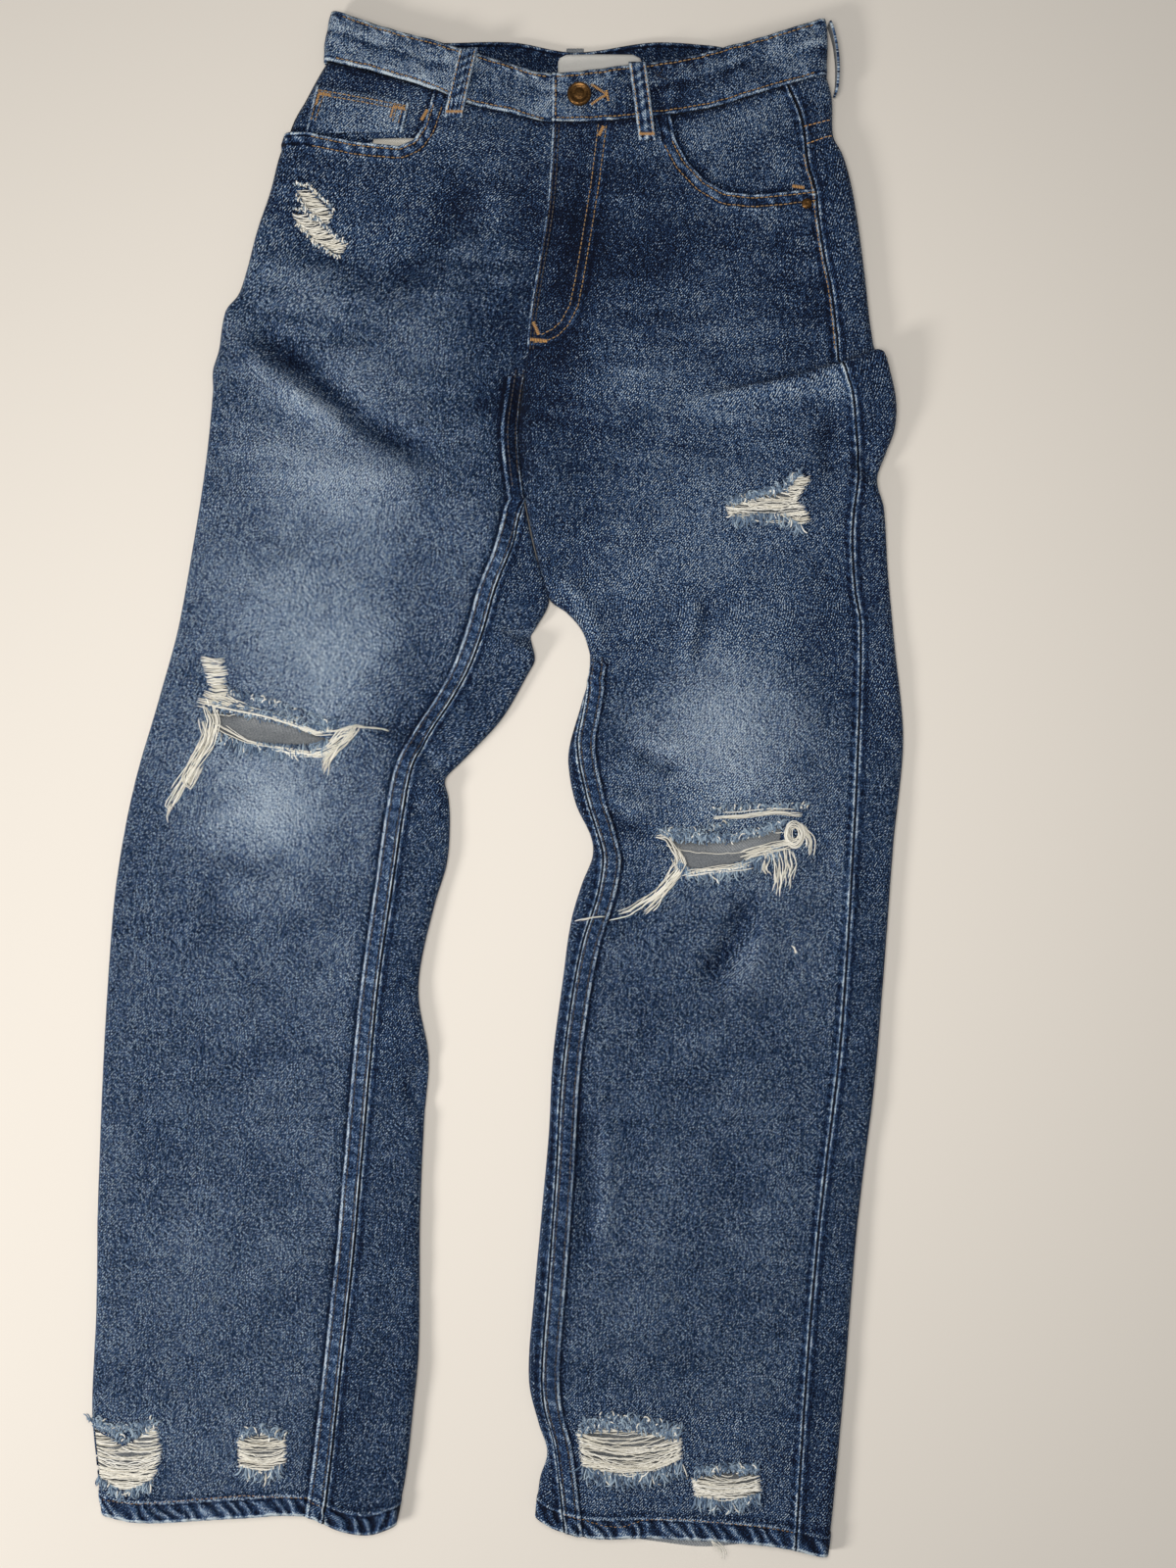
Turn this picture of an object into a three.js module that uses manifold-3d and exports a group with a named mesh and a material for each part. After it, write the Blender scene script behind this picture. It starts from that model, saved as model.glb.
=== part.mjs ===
// Ripped five-pocket jeans lying flat on their back, in millimetres, +Z up, rest plane at z = 0.
// +Y runs from the hems to the waist. The wearer's right leg is on the -X side.
// Every piece is a wall of cloth whose middle surface follows one flattened loop of the garment at each level.
import * as THREE from 'three';
import { mergeVertices } from 'three/addons/utils/BufferGeometryUtils.js';
import Module from 'manifold-3d';

const wasm = await Module();
wasm.setup();

// Cloth and layers
const DENIM = 1.2; // one layer of denim
const HEM_DENIM = 2.4; // denim turned up twice at the hem
const BAND_CLOTH = 2.2; // waistband, folded and interlined
const LOOP_CLOTH = 1.7; // belt loop and back pocket, edges turned in
const BAG_CLOTH = 1.0; // pocket bag
const LABEL_CLOTH = 1.0;
const GAP = 0.3; // between pieces that meet
const SEAM_SIDE = GAP / 2; // each piece stops this far from the seam line
const LEG_CLEAR = DENIM / 2 + GAP; // below the crotch the legs touch along one line

// Levels along the garment
const WAIST = 462; // panels end here, at the lower edge of the waistband
const CROTCH = 200;
const HEM_TURN = 15; // depth of the turned-up hem
const RIGHT_HEM = -516;
const LEFT_HEM = -530;
const RISE_FADE = 300; // the waist's curve has faded out at this level
const HEM_FADE = 120; // the hem's curve has faded out this far above the hem
const UPPER_LEVELS = [WAIST, 440, 420, 400, 380, 358, 336, 320, 306, 296, 284, 266, 246, 226, 210, CROTCH];
const LEG_LEVELS = [CROTCH, 190, 176, 160, 144, 129, 117, 104, 90, 72, 50, 25, 0, -30, -60, -100, -150,
  -200, -260, -320, -380, -440, -480];

// Heights of the lying garment
const HIP_RAISE = 2.0; // back pockets and back loops lie under the seat
const HIP_RAISE_FROM = 150;
const HIP_RAISE_FULL = 215;
const LOFT = [[WAIST, 13], [400, 12.5], [280, 12], [200, 10], [60, 9.5], [-300, 9], [-540, 9.5]];
const EDGE_ROUND = 6; // how far in from its outline the cloth is already level

// Outlines and seams seen from above: [level, x]
const RIGHT_SIDE = [[WAIST, -121], [437, -135], [425, -143], [405, -152], [386, -159], [367, -168], [348, -175],
  [327, -190], [303, -195], [220, -205], [165, -214], [110, -224], [55, -239], [0, -255], [-56, -266],
  [-110, -272], [-194, -277], [-300, -281], [-440, -285], [-480, -282], [-516, -278]];
const LEFT_SIDE = [[WAIST, 231], [447, 235], [424, 236], [412, 243], [391, 250], [350, 258], [306, 265],
  [289, 274], [268, 279], [248, 278], [232, 273], [213, 267], [193, 272], [151, 275], [96, 280], [30, 286],
  [-42, 279], [-97, 275], [-208, 266], [-318, 253], [-428, 244], [-518, 234], [-540, 231]];
const RIGHT_INNER = [[CROTCH, 19], [163, 27], [129, 37], [110, 28], [98, 26], [87, 27], [77, 22], [46, 4],
  [24, -16], [3, -36], [-28, -34], [-56, -36], [-83, -43], [-125, -53], [-152, -55], [-194, -48], [-235, -51],
  [-304, -54], [-400, -55], [-442, -59], [-484, -64], [-516, -71]];
const LEFT_INNER = [[CROTCH, 19], [163, 27], [129, 37], [121, 48], [110, 58], [99, 63], [82, 66], [55, 59],
  [27, 51], [13, 50], [-14, 55], [-38, 66], [-52, 67], [-70, 60], [-97, 52], [-139, 46], [-194, 39], [-249, 36],
  [-304, 31], [-359, 26], [-420, 22], [-456, 29], [-477, 35], [-500, 30], [-530, 27]];
const CENTRE_FRONT = [[WAIST, 40], [405, 36], [360, 29], [320, 23], [293, 21], [250, 15], [225, 16], [CROTCH, 19]];
const RIGHT_INSEAM = [[CROTCH, 19], [165, 10], [137, -1], [106, -10], [82, -19], [58, -32], [37, -46],
  [13, -59], [-21, -66], [-56, -71], [-139, -83], [-208, -90], [-332, -101], [-449, -114], [-516, -122]];
const LEFT_INSEAM = [[90, 66], [72, 65], [50, 61], [27, 57], [-8, 63], [-42, 73], [-56, 75], [-80, 71],
  [-111, 61], [-152, 53], [-208, 46], [-277, 42], [-346, 37], [-415, 32], [-442, 34], [-470, 41], [-530, 48]];
const LEFT_OUTSEAM = [[WAIST, 204], [437, 214], [411, 218], [396, 223], [376, 226], [357, 230], [339, 235],
  [317, 238], [291, 241], [275, 248], [248, 252], [220, 254], [179, 250], [137, 252], [110, 256], [0, 253],
  [-70, 249], [-180, 242], [-318, 226], [-428, 217], [-530, 210]];
const HIDDEN_SEAM = -3; // the right outseam lies this far round under the edge
const CENTRE_BACK = [[WAIST, 52], [300, 40], [220, 20], [CROTCH, 19]];
const YOKE_SIDE_LEVEL = 427;
const YOKE_CENTRE_LEVEL = 405;

// Curved ends of the panels: how far the cloth's end stands above the level, by x
const FRONT_RISE = [[-160, 52], [-121, 44], [-77, 33], [-50, 25], [-18, 13], [8, 7], [40, 0], [96, 3],
  [148, 10], [185, 21], [231, 34], [280, 46]];
const BACK_RISE = [[-160, 52], [-121, 44], [-80, 30], [-50, 24], [10, 22], [55, 18], [110, 22], [180, 24],
  [231, 34], [280, 46]];
const RIGHT_HEM_SHIFT = [[-285, 4], [-253, -3], [-180, 0], [-134, 1], [-110, -9], [-89, -12], [-71, -6]];
const LEFT_HEM_SHIFT = [[27, 14], [42, 6], [68, 0], [115, 0], [193, -6], [231, -14]];
const LEFT_HEM_BACK_SHIFT = [[27, 14], [42, 4], [80, -2], [110, -6], [145, -10], [175, -8], [200, -7], [231, -14]];

// Largest folds: soft ridges from one place to another, lower or higher than the cloth round them
const TUCK = { from: [300, 302], to: [125, 264], height: 6, steep: 9, gentle: 34 };
const FOLDS = [
  { from: [-186, 338], to: [-70, 236], height: -2.5, width: 18 },
  { from: [-60, -300], to: [-75, -420], height: 2, width: 18 },
];

// Waistband, by x
const BAND_FRONT_TOP = [[-121, 541], [-103, 535], [-77, 527], [-50, 520], [-11, 509], [37, 497], [92, 502],
  [129, 507], [166, 516], [203, 527], [232, 536]];
const BAND_BACK_TOP = [[-121, 541], [-80, 528], [-50, 523], [10, 523], [55, 516], [110, 523], [150, 521],
  [174, 518], [203, 524], [232, 536]];
const BAND_LEAN = 5; // the right end leans inward towards the top
const OVERLAP_X = 39; // the buttonhole end stops here
const UNDERLAP = 34; // the button end runs on under it
const UNDERLAP_RAMP = 34;
const BUTTON = { x: 58, y: 481, radius: 8.5, shank: 2.6, hole: 3.3, height: 3.0 };
const LABEL = { width: 59, height: 26, x: 72.5, bottom: 488, corner: 6 };

// Pockets and their openings, seen from above
const RIGHT_OPENING = [[-43, 486], [-46, 475], [-51, 459], [-58, 449], [-68, 445], [-100, 448], [-132, 455],
  [-160, 455]];
const LEFT_OPENING = [[121, 470], [125, 450], [133, 435], [146, 421], [160, 413], [179, 411], [202, 413], [236, 417]];
const COIN_POCKET = [[-126, 488], [-61, 476], [-66, 457], [-134, 460]];
const POCKET_BAG = [[-86, 453], [-56, 455], [-46, 424], [-92, 424]];
const BACK_POCKET = { top: 412, width: 135, side: 118, depth: 150, rightX: -45, leftX: 145 };
const RIVET = { x: 217, y: 405, radius: 3.6, height: 1.6 };

// Holes worn through the fronts at the knees, seen from above
const RIGHT_KNEE_HOLE = [[-203, 52], [-177, 48], [-155, 43], [-129, 35], [-118, 31], [-128, 27], [-155, 27],
  [-180, 30], [-194, 35], [-202, 44]];
const LEFT_KNEE_HOLE = [[116, -37], [126, -40], [164, -41], [177, -39], [200, -31], [198, -42], [180, -52],
  [156, -60], [134, -61], [127, -52]];

const FRONT_COLUMNS = 9;
const BACK_COLUMNS = 13;
const BAND_COLUMNS = 44;

const denimMaterial = (hex) => new THREE.MeshStandardMaterial({ color: hex, roughness: 0.95, metalness: 0 });
const FRONT_BLUE = denimMaterial(0x536478);
const BACK_BLUE = denimMaterial(0x3d4c60);
const BAND_BLUE = denimMaterial(0x47525f);
const FACING_BLUE = denimMaterial(0x4d5d70);
const WHITE_CLOTH = new THREE.MeshStandardMaterial({ color: 0xe9e6de, roughness: 0.9, metalness: 0 });
const BRASS = new THREE.MeshStandardMaterial({ color: 0x6b5334, roughness: 0.45, metalness: 0.9 });

const clamp = (v, low, high) => Math.min(high, Math.max(low, v));
const mix = (a, b, t) => a + (b - a) * t;
function smooth(from, to, v) {
  const t = clamp((v - from) / (to - from), 0, 1);
  return t * t * (3 - 2 * t);
}

// A smooth curve through [position, value] pairs in either order, straight beyond its ends.
function through(points) {
  const p = [...points].sort((a, b) => a[0] - b[0]);
  const slope = p.map((_, i) => {
    const a = p[Math.max(i - 1, 0)];
    const b = p[Math.min(i + 1, p.length - 1)];
    return (b[1] - a[1]) / (b[0] - a[0]);
  });
  return (at) => {
    const last = p.length - 1;
    if (at <= p[0][0]) return p[0][1] + slope[0] * (at - p[0][0]);
    if (at >= p[last][0]) return p[last][1] + slope[last] * (at - p[last][0]);
    let i = 0;
    while (at > p[i + 1][0]) i += 1;
    const h = p[i + 1][0] - p[i][0];
    const t = (at - p[i][0]) / h;
    const s = t * t * (3 - 2 * t);
    const bend = (1 - t) * t * (slope[i] * h * (1 - t) - slope[i + 1] * h * t);
    return mix(p[i][1], p[i + 1][1], s) + bend;
  };
}

const sideRight = through(RIGHT_SIDE);
const sideLeft = through(LEFT_SIDE);
const innerRight = through(RIGHT_INNER);
const innerLeft = through(LEFT_INNER);
const centreFront = through(CENTRE_FRONT);
const centreBack = through(CENTRE_BACK);
const inseamRight = through(RIGHT_INSEAM);
const inseamLeft = through(LEFT_INSEAM);
const outseamLeft = through(LEFT_OUTSEAM);
const loftAt = through(LOFT);
const frontRise = through(FRONT_RISE);
const backRise = through(BACK_RISE);
const hemShift = {
  right: { level: RIGHT_HEM, front: through(RIGHT_HEM_SHIFT), back: through(RIGHT_HEM_SHIFT) },
  left: { level: LEFT_HEM, front: through(LEFT_HEM_SHIFT), back: through(LEFT_HEM_BACK_SHIFT) },
};
const bandFrontTop = through(BAND_FRONT_TOP);
const bandBackTop = through(BAND_BACK_TOP);

function alongLine(x, y, from, to) {
  const dx = to[0] - from[0];
  const dy = to[1] - from[1];
  const length = Math.hypot(dx, dy);
  const along = ((x - from[0]) * dx + (y - from[1]) * dy) / length;
  const across = ((x - from[0]) * dy - (y - from[1]) * dx) / length;
  return { along: along / length, across };
}

function foldHeight(x, y) {
  const tuck = alongLine(x, y, TUCK.from, TUCK.to);
  const below = -tuck.across;
  const rise = below < 0 ? smooth(-TUCK.steep, 0, below) : 1 - smooth(0, TUCK.gentle, below);
  let height = TUCK.height * rise * (1 - smooth(0.35, 1, tuck.along));
  for (const fold of FOLDS) {
    const { along, across } = alongLine(x, y, fold.from, fold.to);
    const ends = smooth(-0.1, 0.25, along) * (1 - smooth(0.75, 1.1, along));
    height += fold.height * Math.exp(-((across / fold.width) ** 2)) * ends;
  }
  return height;
}

const clothAt = (level, leg) => {
  const hem = leg === 'hip' ? -Infinity : hemShift[leg].level + HEM_TURN;
  return level <= hem + 0.01 ? HEM_DENIM : DENIM;
};

const undersideAt = (level) => HIP_RAISE * smooth(HIP_RAISE_FROM, HIP_RAISE_FULL, level);

// Height of the middle surface of the upper layer, before its edges round down.
function upperHeight(level, x) {
  const valley = smooth(260, CROTCH, level) * Math.exp(-(((x - centreFront(level)) / 9) ** 2));
  const crotchDip = level >= CROTCH ? 0.5 * valley : 0;
  return loftAt(level) * (1 - crotchDip) + foldHeight(x, level);
}

// The garment's loop at a level: leftmost place, upper layer, rightmost place, lower layer.
const loops = new Map();
function loopAt(level, leg) {
  const key = `${leg}:${level.toFixed(3)}`;
  if (loops.has(key)) return loops.get(key);
  const left = leg === 'left' ? innerLeft(level) + LEG_CLEAR : sideRight(level);
  const right = leg === 'right' ? innerRight(level) - LEG_CLEAR : sideLeft(level);
  const low = undersideAt(level) + clothAt(level, leg) / 2;
  const round = Math.min(EDGE_ROUND, (right - left) / 4);
  const upper = (x) => low + upperHeight(level, x);
  const points = [];
  const quarter = (x, height, from) => {
    for (let i = 0; i < 8; i += 1) {
      const turn = from + (i / 8) * (Math.PI / 2);
      points.push({ x: x - round * Math.cos(turn), z: low + (height / 2) * (1 + Math.sin(turn)) });
    }
  };
  const leftHeight = upper(left + round) - low;
  const rightHeight = upper(right - round) - low;
  quarter(left + round, leftHeight, 0);
  for (let i = 0; i < 60; i += 1) {
    const x = mix(left + round, right - round, i / 60);
    points.push({ x, z: upper(x) });
  }
  quarter(right - round, rightHeight, Math.PI / 2);
  const rightmost = points.length;
  quarter(right - round, rightHeight, Math.PI);
  for (let i = 0; i < 30; i += 1) points.push({ x: mix(right - round, left + round, i / 30), z: low });
  quarter(left + round, leftHeight, 1.5 * Math.PI);
  let length = 0;
  let effort = 0;
  let heading = null;
  points.push({ ...points[0] });
  points.forEach((p, i) => {
    if (i > 0) {
      const dx = p.x - points[i - 1].x;
      const dz = p.z - points[i - 1].z;
      const now = Math.atan2(dz, dx);
      const turned = heading === null ? 0 : Math.abs(Math.atan2(Math.sin(now - heading), Math.cos(now - heading)));
      heading = now;
      length += Math.hypot(dx, dz);
      effort += Math.hypot(dx, dz) + 16 * turned;
    }
    p.s = length;
    p.effort = effort;
  });
  const loop = { points, length, effort, rightmost: points[rightmost].s, low, left, right, round };
  loops.set(key, loop);
  return loop;
}

const lookUp = (loop, key, value, wanted) => {
  const list = loop.points;
  let a = 0;
  let b = list.length - 1;
  while (b - a > 1) {
    const mid = (a + b) >> 1;
    if (list[mid][key] <= value) a = mid;
    else b = mid;
  }
  const t = (value - list[a][key]) / (list[b][key] - list[a][key]);
  return mix(list[a][wanted], list[b][wanted], t);
};

// A place on the loop, s along it from the leftmost place, with its outward direction.
function placeOn(loop, s) {
  const turns = Math.floor(s / loop.length);
  const at = s - turns * loop.length;
  const wrap = (v) => ((v % loop.length) + loop.length) % loop.length;
  const x = lookUp(loop, 's', at, 'x');
  const z = lookUp(loop, 's', at, 'z');
  const step = 0.8;
  const dx = lookUp(loop, 's', wrap(at + step), 'x') - lookUp(loop, 's', wrap(at - step), 'x');
  const dz = lookUp(loop, 's', wrap(at + step), 'z') - lookUp(loop, 's', wrap(at - step), 'z');
  const size = Math.hypot(dx, dz);
  return { x, z, nx: -dz / size, nz: dx / size };
}

const effortAt = (loop, s) => {
  const turns = Math.floor(s / loop.length);
  return turns * loop.effort + lookUp(loop, 's', s - turns * loop.length, 'effort');
};

function stretchAt(loop, effort) {
  const turns = Math.floor(effort / loop.effort);
  return turns * loop.length + lookUp(loop, 'effort', effort - turns * loop.effort, 's');
}

// s of the place on the upper layer with this x.
function onTop(loop, x) {
  let low = 0;
  let high = loop.rightmost;
  for (let i = 0; i < 40; i += 1) {
    const mid = (low + high) / 2;
    if (lookUp(loop, 's', mid, 'x') < x) low = mid;
    else high = mid;
  }
  return low;
}

// s of the place on the lower layer with this x.
function underneath(loop, x) {
  let low = loop.rightmost;
  let high = loop.length;
  for (let i = 0; i < 40; i += 1) {
    const mid = (low + high) / 2;
    if (lookUp(loop, 's', mid, 'x') > x) low = mid;
    else high = mid;
  }
  return low;
}

// y of a place: the ends of the garment are curved, differently in the upper and lower layers.
function yOf(level, leg, x, z, loop) {
  const top = loop.low + upperHeight(level, clamp(x, loop.left + loop.round, loop.right - loop.round));
  const under = smooth(0, 1, (top - z) / (top - loop.low));
  const rise = mix(frontRise(x), backRise(x), under) * smooth(RISE_FADE, WAIST, level);
  if (leg === 'hip') return level + rise;
  const hem = hemShift[leg];
  return level + rise + mix(hem.front(x), hem.back(x), under) * smooth(hem.level + HEM_FADE, hem.level, level);
}

// A closed wall of cloth from rows of middle places; thickness may change from row to row.
function wall(rows) {
  const columns = rows[0].length;
  const vertices = [];
  for (const side of [0.5, -0.5]) {
    for (const row of rows) {
      for (const p of row) vertices.push(p.x + p.nx * p.t * side, p.y, p.z + p.nz * p.t * side);
    }
  }
  const inner = rows.length * columns;
  const faces = [];
  const quad = (a, b, c, d) => faces.push(a, b, c, a, c, d);
  for (let i = 0; i < rows.length - 1; i += 1) {
    for (let j = 0; j < columns - 1; j += 1) {
      const a = i * columns + j;
      quad(a, a + columns, a + columns + 1, a + 1);
      quad(inner + a, inner + a + 1, inner + a + columns + 1, inner + a + columns);
    }
    const first = i * columns;
    const last = first + columns - 1;
    quad(first, inner + first, inner + first + columns, first + columns);
    quad(last, last + columns, inner + last + columns, inner + last);
  }
  const bottom = (rows.length - 1) * columns;
  for (let j = 0; j < columns - 1; j += 1) {
    quad(j, j + 1, inner + j + 1, inner + j);
    quad(bottom + j, inner + bottom + j, inner + bottom + j + 1, bottom + j + 1);
  }
  const geometry = new THREE.BufferGeometry();
  geometry.setAttribute('position', new THREE.Float32BufferAttribute(vertices, 3));
  geometry.setIndex(faces);
  return geometry;
}

// One row of a panel: columns places spread between two seams, more closely where the cloth turns.
function rowAt({ level, leg, from, to, columns, cloth, sink = 0 }) {
  const row = [];
  for (let j = 0; j <= columns; j += 1) {
    const atLevel = typeof level === 'function' ? level(j / columns) : level;
    const loop = loopAt(atLevel, leg);
    const start = effortAt(loop, from(loop, atLevel));
    const end = effortAt(loop, to(loop, atLevel));
    const p = placeOn(loop, stretchAt(loop, mix(start, end, j / columns)));
    const y = yOf(atLevel, leg, p.x, p.z, loop);
    row.push({ ...p, x: p.x - p.nx * sink, z: p.z - p.nz * sink, y, t: cloth ?? clothAt(atLevel, leg) });
  }
  return row;
}

const hemLevels = (leg) => {
  const hem = hemShift[leg].level;
  return [...LEG_LEVELS, hem + HEM_TURN + 1, hem + HEM_TURN, hem];
};

const startAt = (place) => (loop, level) => place(loop, level) + SEAM_SIDE;
const stopAt = (place) => (loop, level) => place(loop, level) - SEAM_SIDE;

const rightOutseam = () => HIDDEN_SEAM;
const rightOutseamUnder = (loop) => loop.length + HIDDEN_SEAM;
const frontEdge = (loop, level) => onTop(loop, centreFront(level));
const backEdge = (loop, level) => underneath(loop, centreBack(level));
const leftOutseam = (loop, level) => onTop(loop, outseamLeft(level));
const rightInseam = (loop, level) => onTop(loop, Math.min(inseamRight(level), loop.right - 0.02));
const leftInseam = (loop, level) => {
  if (level > 90) return HIDDEN_SEAM * smooth(CROTCH, 170, level) * smooth(92, 120, level);
  return onTop(loop, Math.max(inseamLeft(level), loop.left + 0.02));
};
const leftInseamUnder = (loop, level) => loop.length + leftInseam(loop, level);

function frontPanel(leg, hip, below) {
  const upper = UPPER_LEVELS.map((level, i) => rowAt({
    level: i === 0 ? level - GAP : level, leg: 'hip', from: hip[0], to: hip[1], columns: FRONT_COLUMNS,
  }));
  const lower = hemLevels(leg).slice(1).map((level) => rowAt({
    level, leg, from: below[0], to: below[1], columns: FRONT_COLUMNS,
  }));
  return wall([...upper, ...lower]);
}

// The yoke seam: a shallow V across the seat, level with the side seams at its ends.
const yokeLevel = (from, to, shift) => (share) => {
  const loop = loopAt(WAIST - 40, 'hip');
  const start = effortAt(loop, from(loop, WAIST - 40));
  const end = effortAt(loop, to(loop, WAIST - 40));
  const p = placeOn(loop, stretchAt(loop, mix(start, end, share)));
  const under = p.z < loop.low + 3;
  const reach = p.x < centreBack(WAIST) ? centreBack(WAIST) - loop.left : loop.right - centreBack(WAIST);
  const out = under ? clamp(Math.abs(p.x - centreBack(WAIST)) / (reach - 10), 0, 1) : 1;
  return mix(YOKE_CENTRE_LEVEL, YOKE_SIDE_LEVEL, out) + shift;
};

function backPanel(leg, hip, below) {
  const columns = BACK_COLUMNS;
  const yokeSeam = rowAt({ level: yokeLevel(...hip, -SEAM_SIDE), leg: 'hip', from: hip[0], to: hip[1], columns });
  const upper = UPPER_LEVELS.filter((level) => level <= 400 && level > CROTCH).map((level) => rowAt({
    level, leg: 'hip', from: hip[0], to: hip[1], columns,
  }));
  const lower = hemLevels(leg).map((level) => rowAt({ level, leg, from: below[0], to: below[1], columns }));
  return wall([yokeSeam, ...upper, ...lower]);
}

function yoke(from, to) {
  const seam = yokeLevel(from, to, SEAM_SIDE);
  const middle = (share) => (seam(share) + WAIST) / 2;
  const levels = [WAIST - GAP, middle, seam];
  return wall(levels.map((level) => rowAt({ level, leg: 'hip', from, to, columns: BACK_COLUMNS })));
}

function facing(lowest, from, to, sink) {
  const levels = UPPER_LEVELS.filter((level) => level >= lowest);
  return wall(levels.map((level, i) => rowAt({
    level: i === 0 ? level - GAP : level, leg: 'hip', from, to, columns: 9, sink,
  })));
}

// The middle of the upper layer at a place seen from above, with its outward direction.
function surfaceAt(x, y) {
  let level = y;
  for (let i = 0; i < 30; i += 1) level = y - frontRise(x) * smooth(RISE_FADE, WAIST, level);
  level = clamp(level, RIGHT_HEM, WAIST);
  const loop = loopAt(Math.round(level * 2) / 2, 'hip');
  return placeOn(loop, onTop(loop, x));
}

// A flat-cut patch lying on the upper layer: four corners seen from above, moved up or down from it.
function patch(corners, columns, rows, cloth, lift) {
  const [a, b, c, d] = corners;
  const grid = [];
  for (let i = 0; i <= rows; i += 1) {
    const row = [];
    for (let j = 0; j <= columns; j += 1) {
      const x = mix(mix(a[0], b[0], j / columns), mix(d[0], c[0], j / columns), i / rows);
      const y = mix(mix(a[1], b[1], j / columns), mix(d[1], c[1], j / columns), i / rows);
      const p = surfaceAt(x, y);
      row.push({ ...p, x: p.x + p.nx * lift, y, z: p.z + p.nz * lift, t: cloth });
    }
    grid.push(row);
  }
  return wall(grid);
}

// The waistband: one strip from the buttonhole end, round the back, to the button end that runs on beneath.
const bandRing = loopAt(WAIST, 'hip');
const bandLow = bandRing.low - DENIM / 2 + BAND_CLOTH / 2;
const bandUnder = (p) => smooth(0, 1, (bandRing.low + loftAt(WAIST) - p.z) / loftAt(WAIST));
function waistband() {
  const start = onTop(bandRing, OVERLAP_X);
  const stop = start + bandRing.length + UNDERLAP;
  const firstEffort = effortAt(bandRing, start);
  const lastEffort = effortAt(bandRing, stop);
  const rows = [1, 0.5, 0].map((height) => {
    const row = [];
    for (let j = 0; j <= BAND_COLUMNS; j += 1) {
      const s = stretchAt(bandRing, mix(firstEffort, lastEffort, j / BAND_COLUMNS));
      const p = placeOn(bandRing, s);
      const under = bandUnder(p);
      const sink = (BAND_CLOTH + GAP) * smooth(stop - UNDERLAP - UNDERLAP_RAMP, stop - UNDERLAP, s);
      const bottom = WAIST + mix(frontRise(p.x), backRise(p.x), under) + GAP;
      const top = mix(bandFrontTop(p.x), bandBackTop(p.x), under);
      const lean = BAND_LEAN * height * clamp((OVERLAP_X - p.x) / 160, 0, 1);
      const raise = mix(0, bandLow - bandRing.low, under);
      row.push({ ...p, x: p.x + lean, y: mix(bottom, top, height), z: p.z - sink + raise, t: BAND_CLOTH });
    }
    return row;
  });
  return wall(rows);
}

const bandTopZ = (x) => bandRing.low + upperHeight(WAIST, x) + BAND_CLOTH / 2;

// A belt loop: a strip along y whose ends are sewn down and whose middle stands off, width across x.
function beltLoop(top, bottom, width, seat, standOff) {
  const rows = [];
  for (let i = 0; i <= 6; i += 1) {
    const share = i / 6;
    const bow = standOff * Math.sin(Math.PI * share) ** 0.7;
    const x = mix(top[0], bottom[0], share);
    const y = mix(top[1], bottom[1], share);
    const z = seat(x, share) + bow;
    rows.push([-0.5, 0.5].map((side) => ({ x: x + side * width, y, z, nx: 0, nz: 1, t: LOOP_CLOTH })));
  }
  return wall(rows);
}

// The loop on the left side seam stands on edge, its width across z.
function sideLoop() {
  const rows = [];
  const middle = bandRing.low + loftAt(WAIST) / 2;
  for (let i = 0; i <= 6; i += 1) {
    const share = i / 6;
    const bow = 3.5 * Math.sin(Math.PI * share) ** 0.7;
    const x = bandRing.right + BAND_CLOTH / 2 + LOOP_CLOTH / 2 + GAP + 0.6 + bow + 4 * share;
    const y = mix(534, 484, share);
    const at = (side) => ({ x, y, z: middle + side * 10, nx: 1, nz: 0, t: LOOP_CLOTH });
    rows.push([at(0.5), at(-0.5)]);
  }
  return wall(rows);
}

function solid(geometry) {
  const plain = geometry.clone();
  plain.deleteAttribute('normal');
  plain.deleteAttribute('uv');
  const merged = mergeVertices(plain, 1e-4);
  const mesh = new wasm.Mesh({
    numProp: 3,
    vertProperties: new Float32Array(merged.attributes.position.array),
    triVerts: new Uint32Array(merged.index.array),
  });
  return new wasm.Manifold(mesh);
}

function cut(geometry, cutters) {
  let body = solid(geometry);
  for (const cutter of cutters) body = body.subtract(solid(cutter));
  const mesh = body.getMesh();
  const result = new THREE.BufferGeometry();
  result.setAttribute('position', new THREE.Float32BufferAttribute(mesh.vertProperties, 3));
  result.setIndex([...mesh.triVerts]);
  return result;
}

// An upright block over an outline seen from above.
function block(outline, low, high) {
  const shape = new THREE.Shape(outline.map(([x, y]) => new THREE.Vector2(x, y)));
  const geometry = new THREE.ExtrudeGeometry(shape, { depth: high - low, bevelEnabled: false });
  return geometry.translate(0, 0, low);
}

function cylinder(x, y, radius, low, high) {
  const geometry = new THREE.CylinderGeometry(radius, radius, high - low, 20);
  return geometry.rotateX(Math.PI / 2).translate(x, y, (low + high) / 2);
}

// A turned button: a dished cap with a raised centre, on a short shank.
function buttonGeometry() {
  const r = BUTTON.radius;
  const seat = BAND_CLOTH + GAP * 2;
  const profile = [[0, 0], [BUTTON.shank, 0], [BUTTON.shank, seat], [r - 0.6, seat], [r, seat + 0.9],
    [r - 0.4, seat + 2.2], [r - 1.6, seat + BUTTON.height], [r - 2.8, seat + 2.5], [r - 3.8, seat + 1.8],
    [r - 5, seat + 1.8], [r - 5.8, seat + 2.4], [0, seat + 2.6]];
  const geometry = new THREE.LatheGeometry(profile.map(([x, y]) => new THREE.Vector2(x, y)), 16);
  return geometry.rotateX(Math.PI / 2);
}

function rivetGeometry() {
  const { radius: r, height: h } = RIVET;
  const profile = [[0, 0], [r, 0], [r, h * 0.4], [r * 0.7, h * 0.9], [r * 0.35, h], [0, h * 0.8]];
  return new THREE.LatheGeometry(profile.map(([x, y]) => new THREE.Vector2(x, y)), 12).rotateX(Math.PI / 2);
}

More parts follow.
